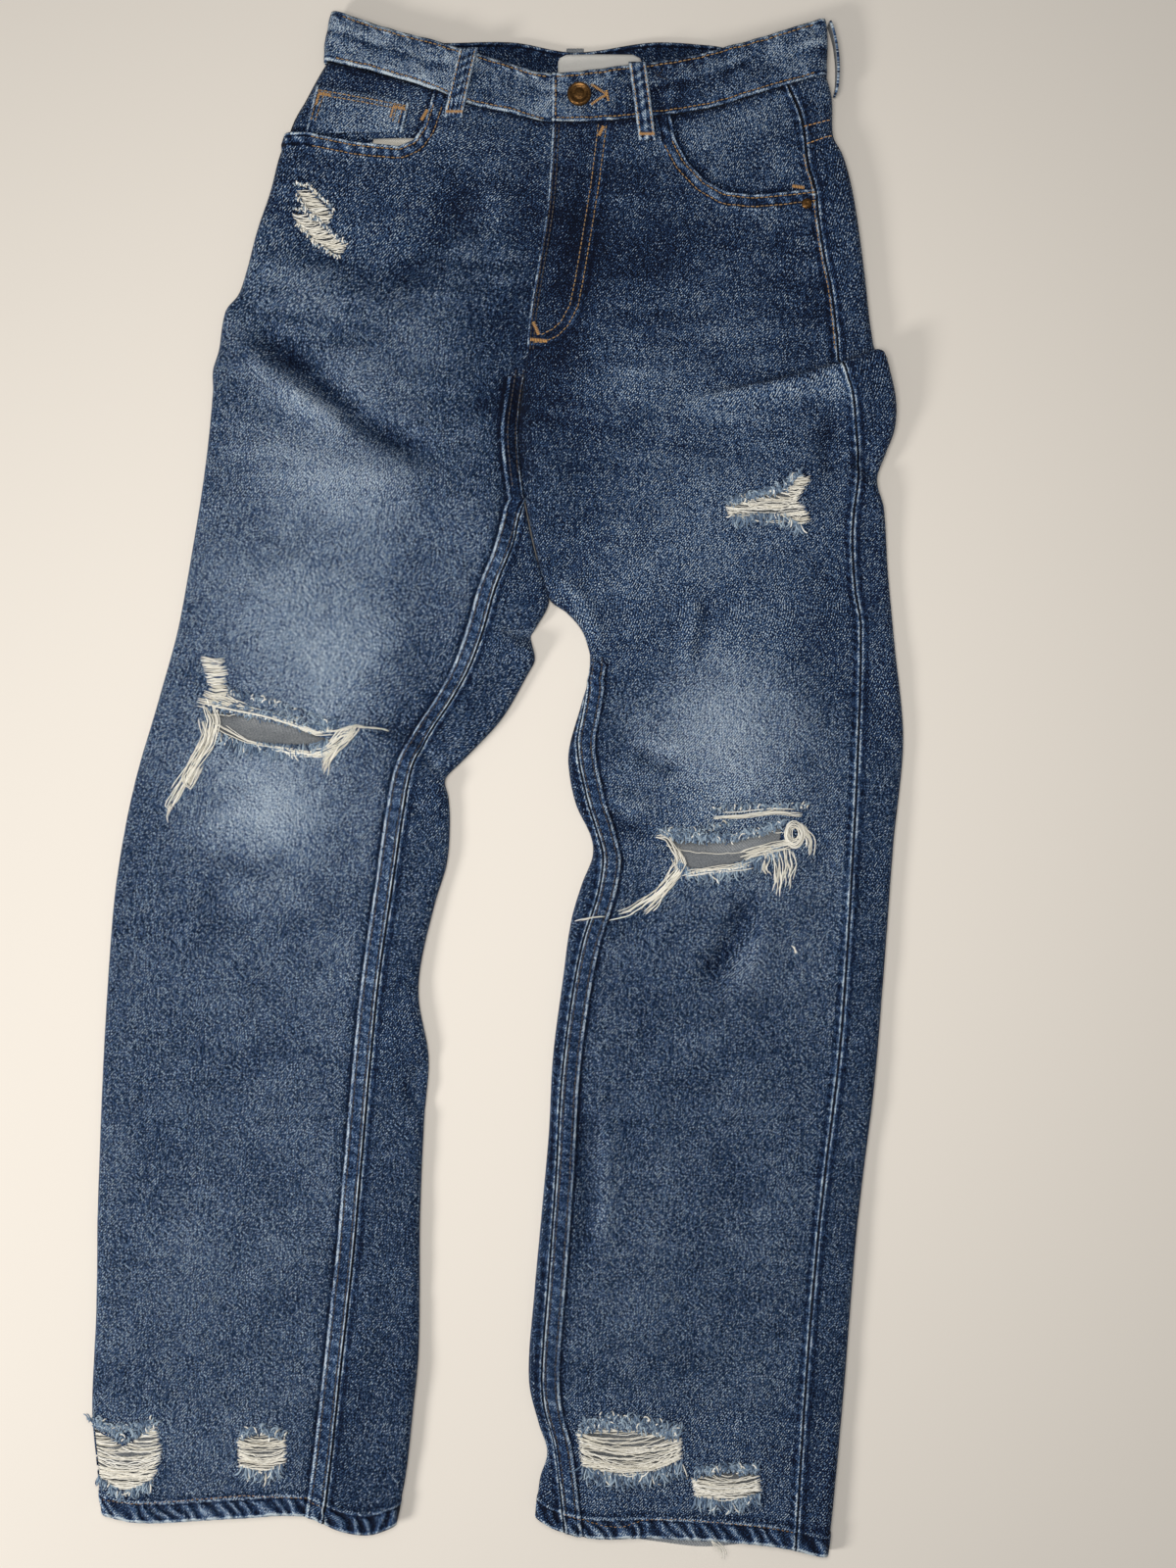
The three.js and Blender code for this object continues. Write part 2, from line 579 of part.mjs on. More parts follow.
function labelGeometry() {
  const { width: w, height: h, x, bottom, corner: c } = LABEL;
  const shape = new THREE.Shape();
  shape.moveTo(x - w / 2, bottom);
  shape.lineTo(x + w / 2, bottom);
  shape.lineTo(x + w / 2, bottom + h - c);
  shape.absarc(x + w / 2 - c, bottom + h - c, c, 0, Math.PI / 2);
  shape.lineTo(x - w / 2 + c, bottom + h);
  shape.absarc(x - w / 2 + c, bottom + h - c, c, Math.PI / 2, Math.PI);
  const geometry = new THREE.ExtrudeGeometry(shape, { depth: LABEL_CLOTH, bevelEnabled: false, curveSegments: 5 });
  return geometry.translate(0, 0, HIP_RAISE + BAND_CLOTH + GAP);
}

function backPocketGeometry(x) {
  const { top, width: w, side, depth } = BACK_POCKET;
  const outline = [[x - w / 2, top], [x - w / 2 + 4, top - side], [x, top - depth], [x + w / 2 - 4, top - side],
    [x + w / 2, top]];
  return block(outline.reverse(), 0, LOOP_CLOTH);
}

const jeans = new THREE.Group();
function add(name, geometry, material) {
  const mesh = new THREE.Mesh(geometry, material);
  mesh.name = name;
  jeans.add(mesh);
  return mesh;
}

// Fronts, cut away at the pocket openings and worn through at the knees
const overAll = [-20, 60];
const beyondRight = [[-240, 455], [-240, 600], [-43, 600]];
const beyondLeft = [[236, 600], [121, 600]];
const rightFront = frontPanel('right', [startAt(rightOutseam), stopAt(frontEdge)],
  [startAt(rightOutseam), stopAt(rightInseam)]);
const leftFront = frontPanel('left', [startAt(frontEdge), stopAt(leftOutseam)],
  [startAt(leftInseam), stopAt(leftOutseam)]);
add('right_front', cut(rightFront, [
  block([...RIGHT_OPENING, ...beyondRight], ...overAll),
  block(RIGHT_KNEE_HOLE, ...overAll),
]), FRONT_BLUE);
add('left_front', cut(leftFront, [
  block([...LEFT_OPENING, ...beyondLeft], ...overAll),
  block(LEFT_KNEE_HOLE, ...overAll),
]), FRONT_BLUE);

// Backs, which wrap round the edges to the seams, and yokes
add('right_back', backPanel('right', [startAt(backEdge), stopAt(rightOutseamUnder)],
  [startAt(rightInseam), stopAt(rightOutseamUnder)]), BACK_BLUE);
add('left_back', backPanel('left', [startAt(leftOutseam), stopAt(backEdge)],
  [startAt(leftOutseam), stopAt(leftInseamUnder)]), BACK_BLUE);
add('right_yoke', yoke(startAt(backEdge), stopAt(rightOutseamUnder)), BACK_BLUE);
add('left_yoke', yoke(startAt(leftOutseam), stopAt(backEdge)), BACK_BLUE);

// Pocket facings, coin pocket and the rolled edge of the pocket bag
const bagSink = DENIM / 2 + GAP + BAG_CLOTH / 2;
const deepSink = bagSink + BAG_CLOTH / 2 + GAP + DENIM / 2;
const shallowSink = DENIM + GAP;
add('right_pocket_facing', facing(400, startAt(rightOutseam), (loop) => onTop(loop, -30), deepSink), FACING_BLUE);
add('left_pocket_facing', facing(380, (loop) => onTop(loop, 108), stopAt(leftOutseam), shallowSink), FACING_BLUE);
add('coin_pocket', patch(COIN_POCKET, 6, 2, DENIM, GAP + DENIM - deepSink), FACING_BLUE);
add('right_pocket_bag', patch(POCKET_BAG, 3, 2, BAG_CLOTH, -bagSink), WHITE_CLOTH);

// Waistband, button and label
const shankBottom = bandTopZ(BUTTON.x) - BAND_CLOTH - GAP;
const buttonHole = cylinder(BUTTON.x, BUTTON.y, BUTTON.hole, bandTopZ(BUTTON.x) - BAND_CLOTH - GAP / 2, 40);
add('waistband', cut(waistband(), [buttonHole]), BAND_BLUE);
add('waist_button', buttonGeometry(), BRASS).position.set(BUTTON.x, BUTTON.y, shankBottom + GAP / 3);
add('waist_label', labelGeometry(), WHITE_CLOTH);

// Belt loops
const onBand = (x) => bandTopZ(x) + GAP + LOOP_CLOTH / 2;
const underBand = () => LOOP_CLOTH / 2;
add('belt_loop_front_right', beltLoop([-19, 513], [-30, 465], 13, onBand, 2), BAND_BLUE);
add('belt_loop_front_left', beltLoop([98.5, 503], [105.5, 449], 12, onBand, 2), BAND_BLUE);
add('belt_loop_side_left', sideLoop(), BAND_BLUE);
add('belt_loop_side_right', beltLoop([-98, 531], [-100, 480], 12, underBand, 0), BAND_BLUE);
add('belt_loop_back', beltLoop([55, 520], [55, 470], 12, underBand, 0), BAND_BLUE);

// Back pockets and the rivet at the outer corner of the left front pocket
add('back_pocket_right', backPocketGeometry(BACK_POCKET.rightX), BACK_BLUE);
add('back_pocket_left', backPocketGeometry(BACK_POCKET.leftX), BACK_BLUE);
add('pocket_rivet', rivetGeometry(), BRASS).position.set(
  RIVET.x, RIVET.y, surfaceAt(RIVET.x, RIVET.y).z + DENIM / 2 + GAP,
);

// The origin is below the middle of the whole garment.
const extent = new THREE.Box3().setFromObject(jeans);
jeans.position.set(-(extent.min.x + extent.max.x) / 2, -(extent.min.y + extent.max.y) / 2, 0);

export default jeans;
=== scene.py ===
"""Ripped five-pocket jeans lying flat on their back: the looks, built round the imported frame.

Shapes are worked out in millimetres in the garment's own coordinates: +Y runs from the hems to the waist,
z = 0 is the surface it lies on, and the wearer's right leg is at -X. They become metres in the frame when a
mesh is made. A level is a height on the garment before the curves of the waist and hems are added.
"""
import math

import bpy
import numpy as np
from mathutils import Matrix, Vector
from mathutils.bvhtree import BVHTree


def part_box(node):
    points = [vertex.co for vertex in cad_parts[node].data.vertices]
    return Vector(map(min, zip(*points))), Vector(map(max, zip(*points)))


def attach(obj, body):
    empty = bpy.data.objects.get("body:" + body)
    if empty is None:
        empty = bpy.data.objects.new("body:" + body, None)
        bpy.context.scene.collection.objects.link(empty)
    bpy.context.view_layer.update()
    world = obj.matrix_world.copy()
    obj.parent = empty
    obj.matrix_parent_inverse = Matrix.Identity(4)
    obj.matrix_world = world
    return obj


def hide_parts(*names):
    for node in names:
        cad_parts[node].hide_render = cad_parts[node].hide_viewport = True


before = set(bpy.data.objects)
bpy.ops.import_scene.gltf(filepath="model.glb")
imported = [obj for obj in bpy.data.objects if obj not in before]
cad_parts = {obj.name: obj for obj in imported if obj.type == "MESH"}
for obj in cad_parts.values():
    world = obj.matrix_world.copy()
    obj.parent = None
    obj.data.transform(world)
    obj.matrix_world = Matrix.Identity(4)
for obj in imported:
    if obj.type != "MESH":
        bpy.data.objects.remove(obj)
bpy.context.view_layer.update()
rng = np.random.default_rng(7)

MM = 0.001
# The label's middle and lower edge tie the garment's coordinates to the frame's.
LABEL_X, LABEL_Y, LABEL_WIDTH, LABEL_HEIGHT = 72.5, 488, 59, 26
label_low, label_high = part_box("waist_label")
ORIGIN = np.array([(label_low.x + label_high.x) / 2 / MM - LABEL_X, label_low.y / MM - LABEL_Y, 0.0])

# Cloth and layers
DENIM = 1.2
HEM_DENIM = 2.4
BAND_CLOTH = 2.2
LOOP_CLOTH = 1.7

# Levels along the garment
WAIST = 462
CROTCH = 200
HEM_TURN = 15
HEM = {"right": -516, "left": -530}
HIP_RAISE = 2.0
EDGE_ROUND = 6.0
ROW_STEP = 2.6
SEAM_GAP = 0.3  # between pieces that are sewn together
SIDE_SEAM = 3.0  # how far the side seams lie down round the garment's edge
FLOOR_GAP = 0.02
TOP_ABOVE = 4  # cloth higher than this belongs to the upper layer
FAR = 99.0  # a distance past every edge look
EDGE_REACH = 20  # the width of the edge looks

# ---------------------------------------------------------------- curves and soft shapes


def smooth(low, high, value):
    """From 0 at low to 1 at high, with a soft start and end."""
    t = np.clip((np.asarray(value, float) - low) / (high - low), 0, 1)
    return t * t * (3 - 2 * t)


def mix(a, b, t):
    return a + (b - a) * t


def curve(points):
    """A smooth curve through (position, value) pairs, straight beyond its ends."""
    x, y = np.array(sorted(points), float).T
    slope = np.gradient(y, x)
    slope[1:-1] = (y[2:] - y[:-2]) / (x[2:] - x[:-2])

    def at(value):
        value = np.asarray(value, float)
        i = np.clip(np.searchsorted(x, value, side="right") - 1, 0, len(x) - 2)
        h = x[i + 1] - x[i]
        t = (value - x[i]) / h
        c = np.clip(t, 0, 1)
        bend = (1 - c) * c * (slope[i] * h * (1 - c) - slope[i + 1] * h * c)
        inside = mix(y[i], y[i + 1], c * c * (3 - 2 * c)) + bend
        before = np.where(t < 0, slope[i] * (value - x[i]), 0)
        after = np.where(t > 1, slope[i + 1] * (value - x[i + 1]), 0)
        return inside + before + after

    return at


def noise(x, y, size, seed=0):
    """Smooth noise from -1 to 1 whose lumps are about size across."""
    table = np.random.default_rng(seed).uniform(-1, 1, (64, 64))
    u, v = np.asarray(x, float) / size, np.asarray(y, float) / size
    i, j = np.floor(u).astype(int), np.floor(v).astype(int)
    fu, fv = u - i, v - j
    fu, fv = fu * fu * (3 - 2 * fu), fv * fv * (3 - 2 * fv)
    a, b = table[i % 64, j % 64], table[(i + 1) % 64, j % 64]
    c, d = table[i % 64, (j + 1) % 64], table[(i + 1) % 64, (j + 1) % 64]
    return mix(mix(a, b, fu), mix(c, d, fu), fv)


def to_line(x, y, line):
    """Distance from a broken line, signed (+ on its left side), and how far along it the nearest place is."""
    x, y = np.asarray(x, float), np.asarray(y, float)
    best, along, start = np.full(x.shape, 1e9), np.zeros(x.shape), 0.0
    for (ax, ay), (bx, by) in zip(line[:-1], line[1:]):
        dx, dy = bx - ax, by - ay
        size = math.hypot(dx, dy)
        t = np.clip(((x - ax) * dx + (y - ay) * dy) / size**2, 0, 1)
        away = np.hypot(x - ax - t * dx, y - ay - t * dy)
        side = np.where(dx * (y - ay) - dy * (x - ax) >= 0, 1, -1)
        nearer = away < np.abs(best)
        best = np.where(nearer, away * side, best)
        along = np.where(nearer, start + t * size, along)
        start += size
    return best, along


def length_of(line):
    return sum(math.dist(a, b) for a, b in zip(line[:-1], line[1:]))


def run_along(line):
    """The distance of each place along its line."""
    return np.concatenate([[0], np.cumsum(np.linalg.norm(np.diff(line, axis=0), axis=1))])


def resample(line, step):
    line = np.asarray(line, float)
    along = run_along(line)
    places = np.arange(0, along[-1], step)
    return np.stack([np.interp(places, along, line[:, k]) for k in range(line.shape[1])], -1)


def left_of(line):
    """The unit direction to the left of a line at each of its places."""
    ahead = np.gradient(line, axis=0)
    ahead /= np.maximum(np.linalg.norm(ahead, axis=1, keepdims=True), 1e-9)
    return np.stack([-ahead[:, 1], ahead[:, 0]], -1)


def offset_line(line, amount):
    """The line moved to its left by amount."""
    line = resample(line, 3.0)
    return line + amount * left_of(line)


def bell(x, y, middle_x, middle_y, radius_x, radius_y):
    """A soft mound, 1 in its middle."""
    return np.exp(-(((x - middle_x) / radius_x) ** 2) - ((y - middle_y) / radius_y) ** 2)


# ---------------------------------------------------------------- outlines and seams, as (level, x)

side_right = curve([(462, -121), (437, -135), (425, -143), (405, -152), (386, -159), (367, -168), (348, -175),
                    (336, -181), (327, -190), (303, -195), (290, -199), (275, -199), (220, -205), (165, -214),
                    (110, -224), (55, -239), (0, -255), (-56, -266), (-110, -272), (-194, -277), (-300, -281),
                    (-373, -282), (-440, -285), (-480, -282), (-516, -278)])
side_left = curve([(462, 231), (447, 235), (424, 236), (412, 243), (391, 250), (350, 258), (306, 265),
                   (296, 272), (289, 275), (268, 280), (248, 279), (232, 273), (213, 267), (193, 272),
                   (151, 275),
                   (96, 280), (30, 286), (-42, 279), (-97, 275), (-208, 266), (-318, 253), (-428, 244),
                   (-518, 234), (-540, 231)])
inner_right = curve([(200, 19), (163, 27), (129, 37), (110, 28), (104, 24), (98, 25), (87, 27), (77, 22),
                     (46, 4),
                     (24, -16), (14, -26), (3, -36), (-10, -34), (-28, -33), (-56, -35), (-83, -43),
                     (-125, -53),
                     (-152, -55), (-194, -48), (-235, -51), (-304, -54), (-400, -55), (-442, -59),
                     (-484, -64),
                     (-516, -71)])
inner_left = curve([(200, 19), (163, 27), (129, 37), (121, 48), (110, 58), (99, 63), (82, 66), (55, 59),
                    (27, 51),
                    (13, 50), (-14, 55), (-38, 66), (-52, 67), (-70, 60), (-97, 52), (-139, 46), (-194, 39),
                    (-249, 36), (-304, 31), (-359, 26), (-420, 22), (-456, 29), (-477, 35), (-500, 30),
                    (-530, 27)])
centre_front = curve([(462, 40), (405, 36), (360, 29), (320, 23), (293, 21), (250, 15), (225, 16), (200, 19)])
centre_back = curve([(462, 52), (300, 40), (220, 20), (200, 19)])
inseam_right = curve([(200, 19), (165, 10), (137, -1), (106, -10), (82, -19), (58, -32), (37, -46), (13, -59),
                      (-21, -66), (-56, -71), (-139, -83), (-208, -90), (-332, -101), (-449, -114),
                      (-516, -122)])
inseam_left = curve([(90, 66), (72, 65), (50, 61), (27, 57), (-8, 63), (-42, 73), (-56, 75), (-80, 71),
                     (-111, 61),
                     (-152, 53), (-208, 46), (-277, 42), (-346, 37), (-415, 32), (-442, 34), (-470, 41),
                     (-530, 48)])
outseam_left = curve([(462, 204), (437, 214), (411, 218), (396, 223), (376, 226), (357, 230), (339, 235),
                      (317, 238), (291, 241), (275, 248), (248, 252), (220, 254), (179, 250), (137, 252),
                      (110, 256),
                      (0, 253), (-70, 249), (-180, 242), (-318, 226), (-428, 217), (-530, 210)])
loft = curve([(462, 13), (400, 12.5), (280, 12), (200, 10), (60, 9.5), (-300, 9), (-540, 9.5)])
front_rise = curve([(-160, 52), (-121, 44), (-77, 33), (-50, 25), (-18, 13), (8, 7), (40, 0), (96, 3),
                    (148, 10),
                    (185, 21), (231, 34), (280, 46)])
back_rise = curve([(-160, 52), (-121, 44), (-80, 30), (-50, 24), (10, 22), (55, 18), (110, 22), (180, 24),
                   (231, 34), (280, 46)])
right_hem_shift = curve([(-285, 4), (-253, -3), (-180, 0), (-134, 1), (-110, -9), (-89, -12), (-71, -6)])
left_hem_shift = curve([(27, 14), (42, 6), (68, 0), (115, 0), (193, -6), (231, -14)])
left_hem_back_shift = curve([(27, 14), (42, 4), (80, -2), (110, -6), (145, -10), (175, -8), (200, -7),
                             (231, -14)])
band_front_top = curve([(-121, 541), (-103, 535), (-77, 527), (-50, 520), (-11, 509), (37, 497), (92, 502),
                        (129, 507), (166, 516), (203, 527), (232, 536)])
band_back_top = curve([(-121, 541), (-80, 528), (-50, 523), (10, 523), (55, 516), (110, 523), (150, 521),
                       (174, 518), (203, 524), (232, 536)])


def underside(level):
    """How high the underside is raised at the hips, to leave room for the back pockets and loops."""
    return HIP_RAISE * smooth(150, 215, level)


def cloth_at(level, leg):
    return HEM_DENIM if leg != "hip" and level <= HEM[leg] + HEM_TURN else DENIM


def rise_at(level, leg, x, under):
    """How far y is from the level: waist and hems are curved, differently in the upper and lower layers."""
    rise = mix(front_rise(x), back_rise(x), under) * smooth(300, WAIST, level)
    if leg == "hip":
        return rise
    front = left_hem_shift if leg == "left" else right_hem_shift
    back = left_hem_back_shift if leg == "left" else right_hem_shift
    return rise + mix(front(x), back(x), under) * smooth(HEM[leg] + 120, HEM[leg], level)


class Loop:
    """The garment's flattened loop at a level: s runs from its leftmost place over the top and back below."""

    def __init__(self, level, leg):
        clear = DENIM / 2 + SEAM_GAP
        left = float(inner_left(level)) + clear if leg == "left" else float(side_right(level))
        right = float(inner_right(level)) - clear if leg == "right" else float(side_left(level))
        low = float(underside(level)) + cloth_at(level, leg) / 2
        high = float(loft(level))
        r = min(EDGE_ROUND, (right - left) / 4)
        quarter = np.linspace(0, math.pi / 2, 14)[:-1]

        def bend(centre, turn):
            return np.stack([centre - r * np.cos(turn), low + high / 2 * (1 + np.sin(turn))])

        across = np.linspace(0, 1, 120, endpoint=False)
        top_x = mix(left + r, right - r, across)
        valley = 0.5 * smooth(260, CROTCH, level) * np.exp(-(((top_x - centre_front(level)) / 9) ** 2))
        top = np.stack([top_x, low + high * (1 - valley * (leg == "hip"))])
        bottom = np.stack([mix(right - r, left + r, across), np.full(120, low)])
        parts = [bend(left + r, quarter), top, bend(right - r, quarter + math.pi / 2),
                 bend(right - r, quarter + math.pi), bottom, bend(left + r, quarter + 1.5 * math.pi)]
        line = np.concatenate(parts, axis=1)
        line = np.concatenate([line, line[:, :1]], axis=1)
        self.s = np.concatenate([[0], np.cumsum(np.hypot(*np.diff(line, axis=1)))])
        self.x, self.z = line
        self.length = self.s[-1]
        self.rightmost = self.s[sum(p.shape[1] for p in parts[:3])]
        self.low, self.high, self.left, self.right, self.round = low, high, left, right, r

    def at(self, s):
        s = np.mod(s, self.length)
        return np.interp(s, self.s, self.x), np.interp(s, self.s, self.z)

    def outward(self, s):
        """The direction out of the cloth, as its x and z parts."""
        ahead, behind = self.at(s + 0.8), self.at(s - 0.8)
        tx, tz = ahead[0] - behind[0], ahead[1] - behind[1]
        size = np.hypot(tx, tz)
        return -tz / size, tx / size

    def on_top(self, x):
        """The s of a place on the upper layer."""
        half = self.s <= self.rightmost
        return float(np.interp(x, self.x[half], self.s[half]))

    def beneath(self, x):
        """The s of a place on the lower layer."""
        half = self.s >= self.rightmost
        return float(np.interp(-x, -self.x[half], self.s[half]))


# ---------------------------------------------------------------- folds and creases, placed one by one

TUCK = [(300, 303), (266, 299), (241, 290), (216, 283), (190, 277), (162, 273), (136, 267), (112, 262)]
# (places along the crease, height before FOLD_GAIN, width): ridges are positive and troughs negative
FOLD_GAIN = 2.6
FOLDS = [
    # wearer's right hip and thigh
    ([(-184, 340), (-156, 308), (-132, 288), (-101, 259), (-60, 234), (-20, 216)], -3.2, 9),
    ([(-190, 316), (-160, 286), (-128, 262), (-90, 243)], 2.0, 10),
    ([(-150, 400), (-120, 372), (-80, 352), (-40, 345)], -1.4, 16),
    ([(-20, 440), (-26, 410), (-46, 372), (-80, 345)], -1.6, 12),
    ([(-8, 442), (2, 400), (4, 360), (0, 320)], 1.0, 9),
    ([(-195, 250), (-150, 225), (-90, 212), (-30, 208)], 1.2, 18),
    ([(-195, 190), (-130, 165), (-60, 160)], -1.0, 24),
    ([(-60, 130), (-95, 95), (-110, 50), (-100, 20)], 1.0, 22),
    # front fly
    ([(60, 458), (53, 410), (45, 370), (38, 335)], 0.5, 4),
    ([(49, 458), (44, 410), (37, 370), (31, 335)], -0.45, 4),
    ([(84, 450), (77, 400), (66, 350), (54, 304), (30, 297)], -0.6, 4),
    # crotch and inner thighs
    ([(16, 300), (14, 268), (15, 240), (19, 205)], -2.2, 7),
    ([(30, 262), (34, 230), (42, 190)], 1.3, 12),
    ([(8, 196), (14, 170), (24, 140)], -1.2, 6),
    ([(2, 110), (14, 106), (30, 105)], -2.6, 4),
    ([(6, 96), (18, 93), (30, 90)], 1.8, 5),
    ([(42, 150), (62, 122), (74, 96)], 1.8, 7),
    # wearer's right knee and calf
    ([(-96, 42), (-78, 37), (-52, 34)], -1.6, 4),
    ([(-60, 36), (-44, 16), (-34, 2)], -1.8, 6),
    ([(-30, 12), (-42, -6), (-52, -22)], 2.0, 6),
    ([(-38, -6), (-46, -14), (-62, -22)], -2.0, 4),
    ([(-202, -48), (-176, -58), (-136, -53)], -1.4, 8),
    ([(-200, -62), (-160, -84), (-120, -82)], 1.0, 12),
    ([(-196, -40), (-202, -80), (-196, -130)], -0.8, 10),
    ([(-50, -190), (-58, -215), (-52, -240)], -1.6, 6),
    ([(-230, -160), (-190, -190), (-140, -200)], -0.6, 20),
    ([(-240, -300), (-180, -330), (-120, -320)], 0.6, 26),
    ([(-85, -330), (-92, -380), (-100, -430)], 0.9, 8),
    # wearer's left thigh
    ([(140, 140), (138, 112), (133, 88), (130, 74)], 1.3, 5),
    ([(148, 140), (146, 108), (140, 80)], -0.9, 6),
    ([(240, 262), (232, 236), (240, 210)], -1.8, 8),
    ([(262, 240), (256, 224), (268, 212)], -2.4, 6),
    ([(120, 244), (160, 232), (210, 236)], -1.0, 20),
    ([(60, 180), (110, 150), (160, 150)], 0.8, 26),
    ([(94, 22), (116, 14), (136, 6)], -1.8, 6),
    ([(90, 34), (116, 26), (142, 18)], 1.2, 8),
    ([(76, -18), (92, -30), (114, -34)], -1.5, 6),
    ([(74, -6), (90, -16), (112, -20)], 1.4, 7),
    ([(60, -40), (74, -56), (90, -60)], 1.2, 8),
    ([(183, -74), (164, -114), (141, -146)], -2.2, 9),
    ([(196, -84), (180, -124), (158, -160)], 1.3, 10),
    ([(106, -66), (96, -92), (84, -120)], -1.0, 9),
    ([(240, -30), (246, -80), (240, -130)], 0.8, 9),
    # wearer's left calf
    ([(52, -220), (65, -242), (63, -268), (66, -290), (59, -345)], -1.8, 7),
    ([(64, -212), (78, -244), (76, -282), (72, -340)], 1.2, 8),
    ([(106, -164), (102, -184)], -0.8, 5),
    ([(200, -250), (190, -300), (196, -350)], 0.6, 16),
    ([(34, -440), (40, -470), (40, -500)], -1.6, 7),
]
BLOBS = [  # (x, y, radius x, radius y, height): soft dents and swells
    (-184, 372, 16, 22, 1.6), (-182, 342, 10, 9, -2.0), (-168, 424, 16, 14, -1.4), (262, 268, 26, 22, 3.2),
    (252, 238, 20, 12, -1.5), (230, 330, 30, 36, -1.4), (-225, 20, 30, 60, 0.8), (150, 60, 50, 70, 1.0),
    (-40, 420, 30, 30, 0.8), (150, 380, 60, 50, 0.8), (-190, -450, 50, 50, 0.8), (120, -440, 60, 60, 0.8),
    (54, 470, 20, 14, 0.8), (-100, 500, 22, 14, 1.4), (212, 506, 18, 18, 1.2),
]


def fold_height(x, y):
    """Height of the creases at places seen from above, and how far the tuck drags the cloth to the waist."""
    height = np.zeros(np.shape(x))
    for line, tall, wide in FOLDS:
        away, along = to_line(x, y, line)
        total = length_of(line)
        ends = smooth(-0.02 * total, 0.3 * total, along) * smooth(1.02 * total, 0.7 * total, along)
        height += FOLD_GAIN * tall * np.exp(-((away / wide) ** 2)) * ends
    for cx, cy, rx, ry, tall in BLOBS:
        height += tall * bell(x, y, cx, cy, rx, ry)
    away, along = to_line(x, y, TUCK)  # the cloth below the line is on its left, counted positive
    strength = smooth(205, 90, along)
    height += 6.0 * strength * np.where(away < 0, smooth(-4, 1.5, away), 1 - smooth(2, 34, away))
    height -= 2.2 * strength * np.exp(-(((away + 7) / 6) ** 2))
    drag = 4.5 * strength * np.exp(-(((away - 3) / 5) ** 2))
    height += 0.55 * noise(x, y, 26, 1) + 0.25 * noise(x, y, 11, 2) + 0.9 * noise(x, y, 70, 3)
    return height, drag


# ---------------------------------------------------------------- grids of cloth

def levels_between(high, low, step=ROW_STEP):
    return np.linspace(high, low, max(2, int(round((high - low) / step)) + 1))


class Cloth:
    """A grid of middle places (rows x columns, in millimetres) with what the material and the seams need."""

    def __init__(self, points, top, u, v, thick):
        self.points, self.top, self.u, self.v, self.thick = points, top, u, v, thick

    def normals(self):
        along = np.gradient(self.points, axis=0)
        across = np.gradient(self.points, axis=1)
        normal = np.cross(along, across)
        return normal / np.maximum(np.linalg.norm(normal, axis=2, keepdims=True), 1e-9)

    def raise_by(self, amount):
        self.points = self.points + self.normals() * np.asarray(amount)[..., None]


def strip(rows, leg_of, start, stop, columns, sink=0.0, warp=None):
    """A piece between two seams. Columns lie closer where the cloth turns and near the seams."""
    grid = {key: [] for key in ("points", "top", "u", "v", "thick")}
    for level in rows:
        leg = leg_of(level)
        loop = Loop(level, leg)
        s0, s1 = start(loop, level), stop(loop, level)
        s = np.linspace(s0, s1, 700)
        x, z = loop.at(s)
        turn = (x < loop.left + loop.round) | (x > loop.right - loop.round)
        flat_under = (z < loop.low + 0.05) & ~turn
        weight = np.where(turn, 2.0, np.where(flat_under, 0.42, 1.0))
        near_seams = np.exp(-((s - s0) / 9) ** 2) + np.exp(-((s - s1) / 9) ** 2)
        weight = weight + np.where(flat_under, 0, 0.9) * near_seams
        effort = np.concatenate([[0], np.cumsum((weight[1:] + weight[:-1]) / 2)])
        s = np.interp(np.linspace(0, effort[-1], columns + 1), effort, s)
        x, z = loop.at(s)
        nx, nz = loop.outward(s)
        under = smooth(0, 1, (loop.low + loop.high - z) / loop.high)
        at_level = np.full(columns + 1, float(level))
        if warp is not None:
            at_level = warp(level, x, under)
        y = at_level + rise_at(level if warp is None else np.minimum(at_level, WAIST), leg, x, under)
        lifted, drag = fold_height(x, y)
        topness = 1 - under
        z = z - nz * sink + lifted * topness
        x = x - nx * sink
        y = y + drag * topness
        grid["points"].append(np.stack([x, y, z], axis=1))
        grid["top"].append(topness)
        grid["u"].append(s - (s0 + s1) / 2)
        grid["v"].append(at_level)
        grid["thick"].append(np.full(columns + 1, cloth_at(level, leg)))
    return Cloth(*(np.array(grid[key]) for key in ("points", "top", "u", "v", "thick")))


# Each seam gives its s on the loop at a level.

def right_outseam(loop, level):
    return -SIDE_SEAM


def right_outseam_under(loop, level):
    return loop.length - SIDE_SEAM


def front_edge(loop, level):
    return loop.on_top(float(centre_front(level)))


def back_edge(loop, level):
    return loop.beneath(float(centre_back(level)))


def left_outseam(loop, level):
    return loop.on_top(float(outseam_left(level)))


def right_inseam(loop, level):
    return loop.on_top(min(float(inseam_right(level)), loop.right - 0.02))


def left_inseam(loop, level):
    if level > 90:
        return -SIDE_SEAM * float(smooth(CROTCH, 170, level) * smooth(92, 120, level))
    return loop.on_top(max(float(inseam_left(level)), loop.left + 0.02))


def left_inseam_under(loop, level):
    return loop.length + left_inseam(loop, level)


def by_level(above, below):
    """One seam above the crotch and another below it."""
    return lambda loop, level: above(loop, level) if level > CROTCH else below(loop, level)


def at_x(x):
    return lambda loop, level: loop.on_top(x)


def slanting(low_x, high_x, low, high):
    """A straight edge on the upper layer from low_x at the level low to high_x at the level high."""
    return lambda loop, level: loop.on_top(mix(low_x, high_x, (level - low) / (high - low)))


def part_of(leg):
    return lambda level: "hip" if level > CROTCH else leg


YOKE_SIDE, YOKE_CENTRE = 427, 405
PANEL_WARP_FROM = 360  # the backs' rows follow the yoke seam above this level


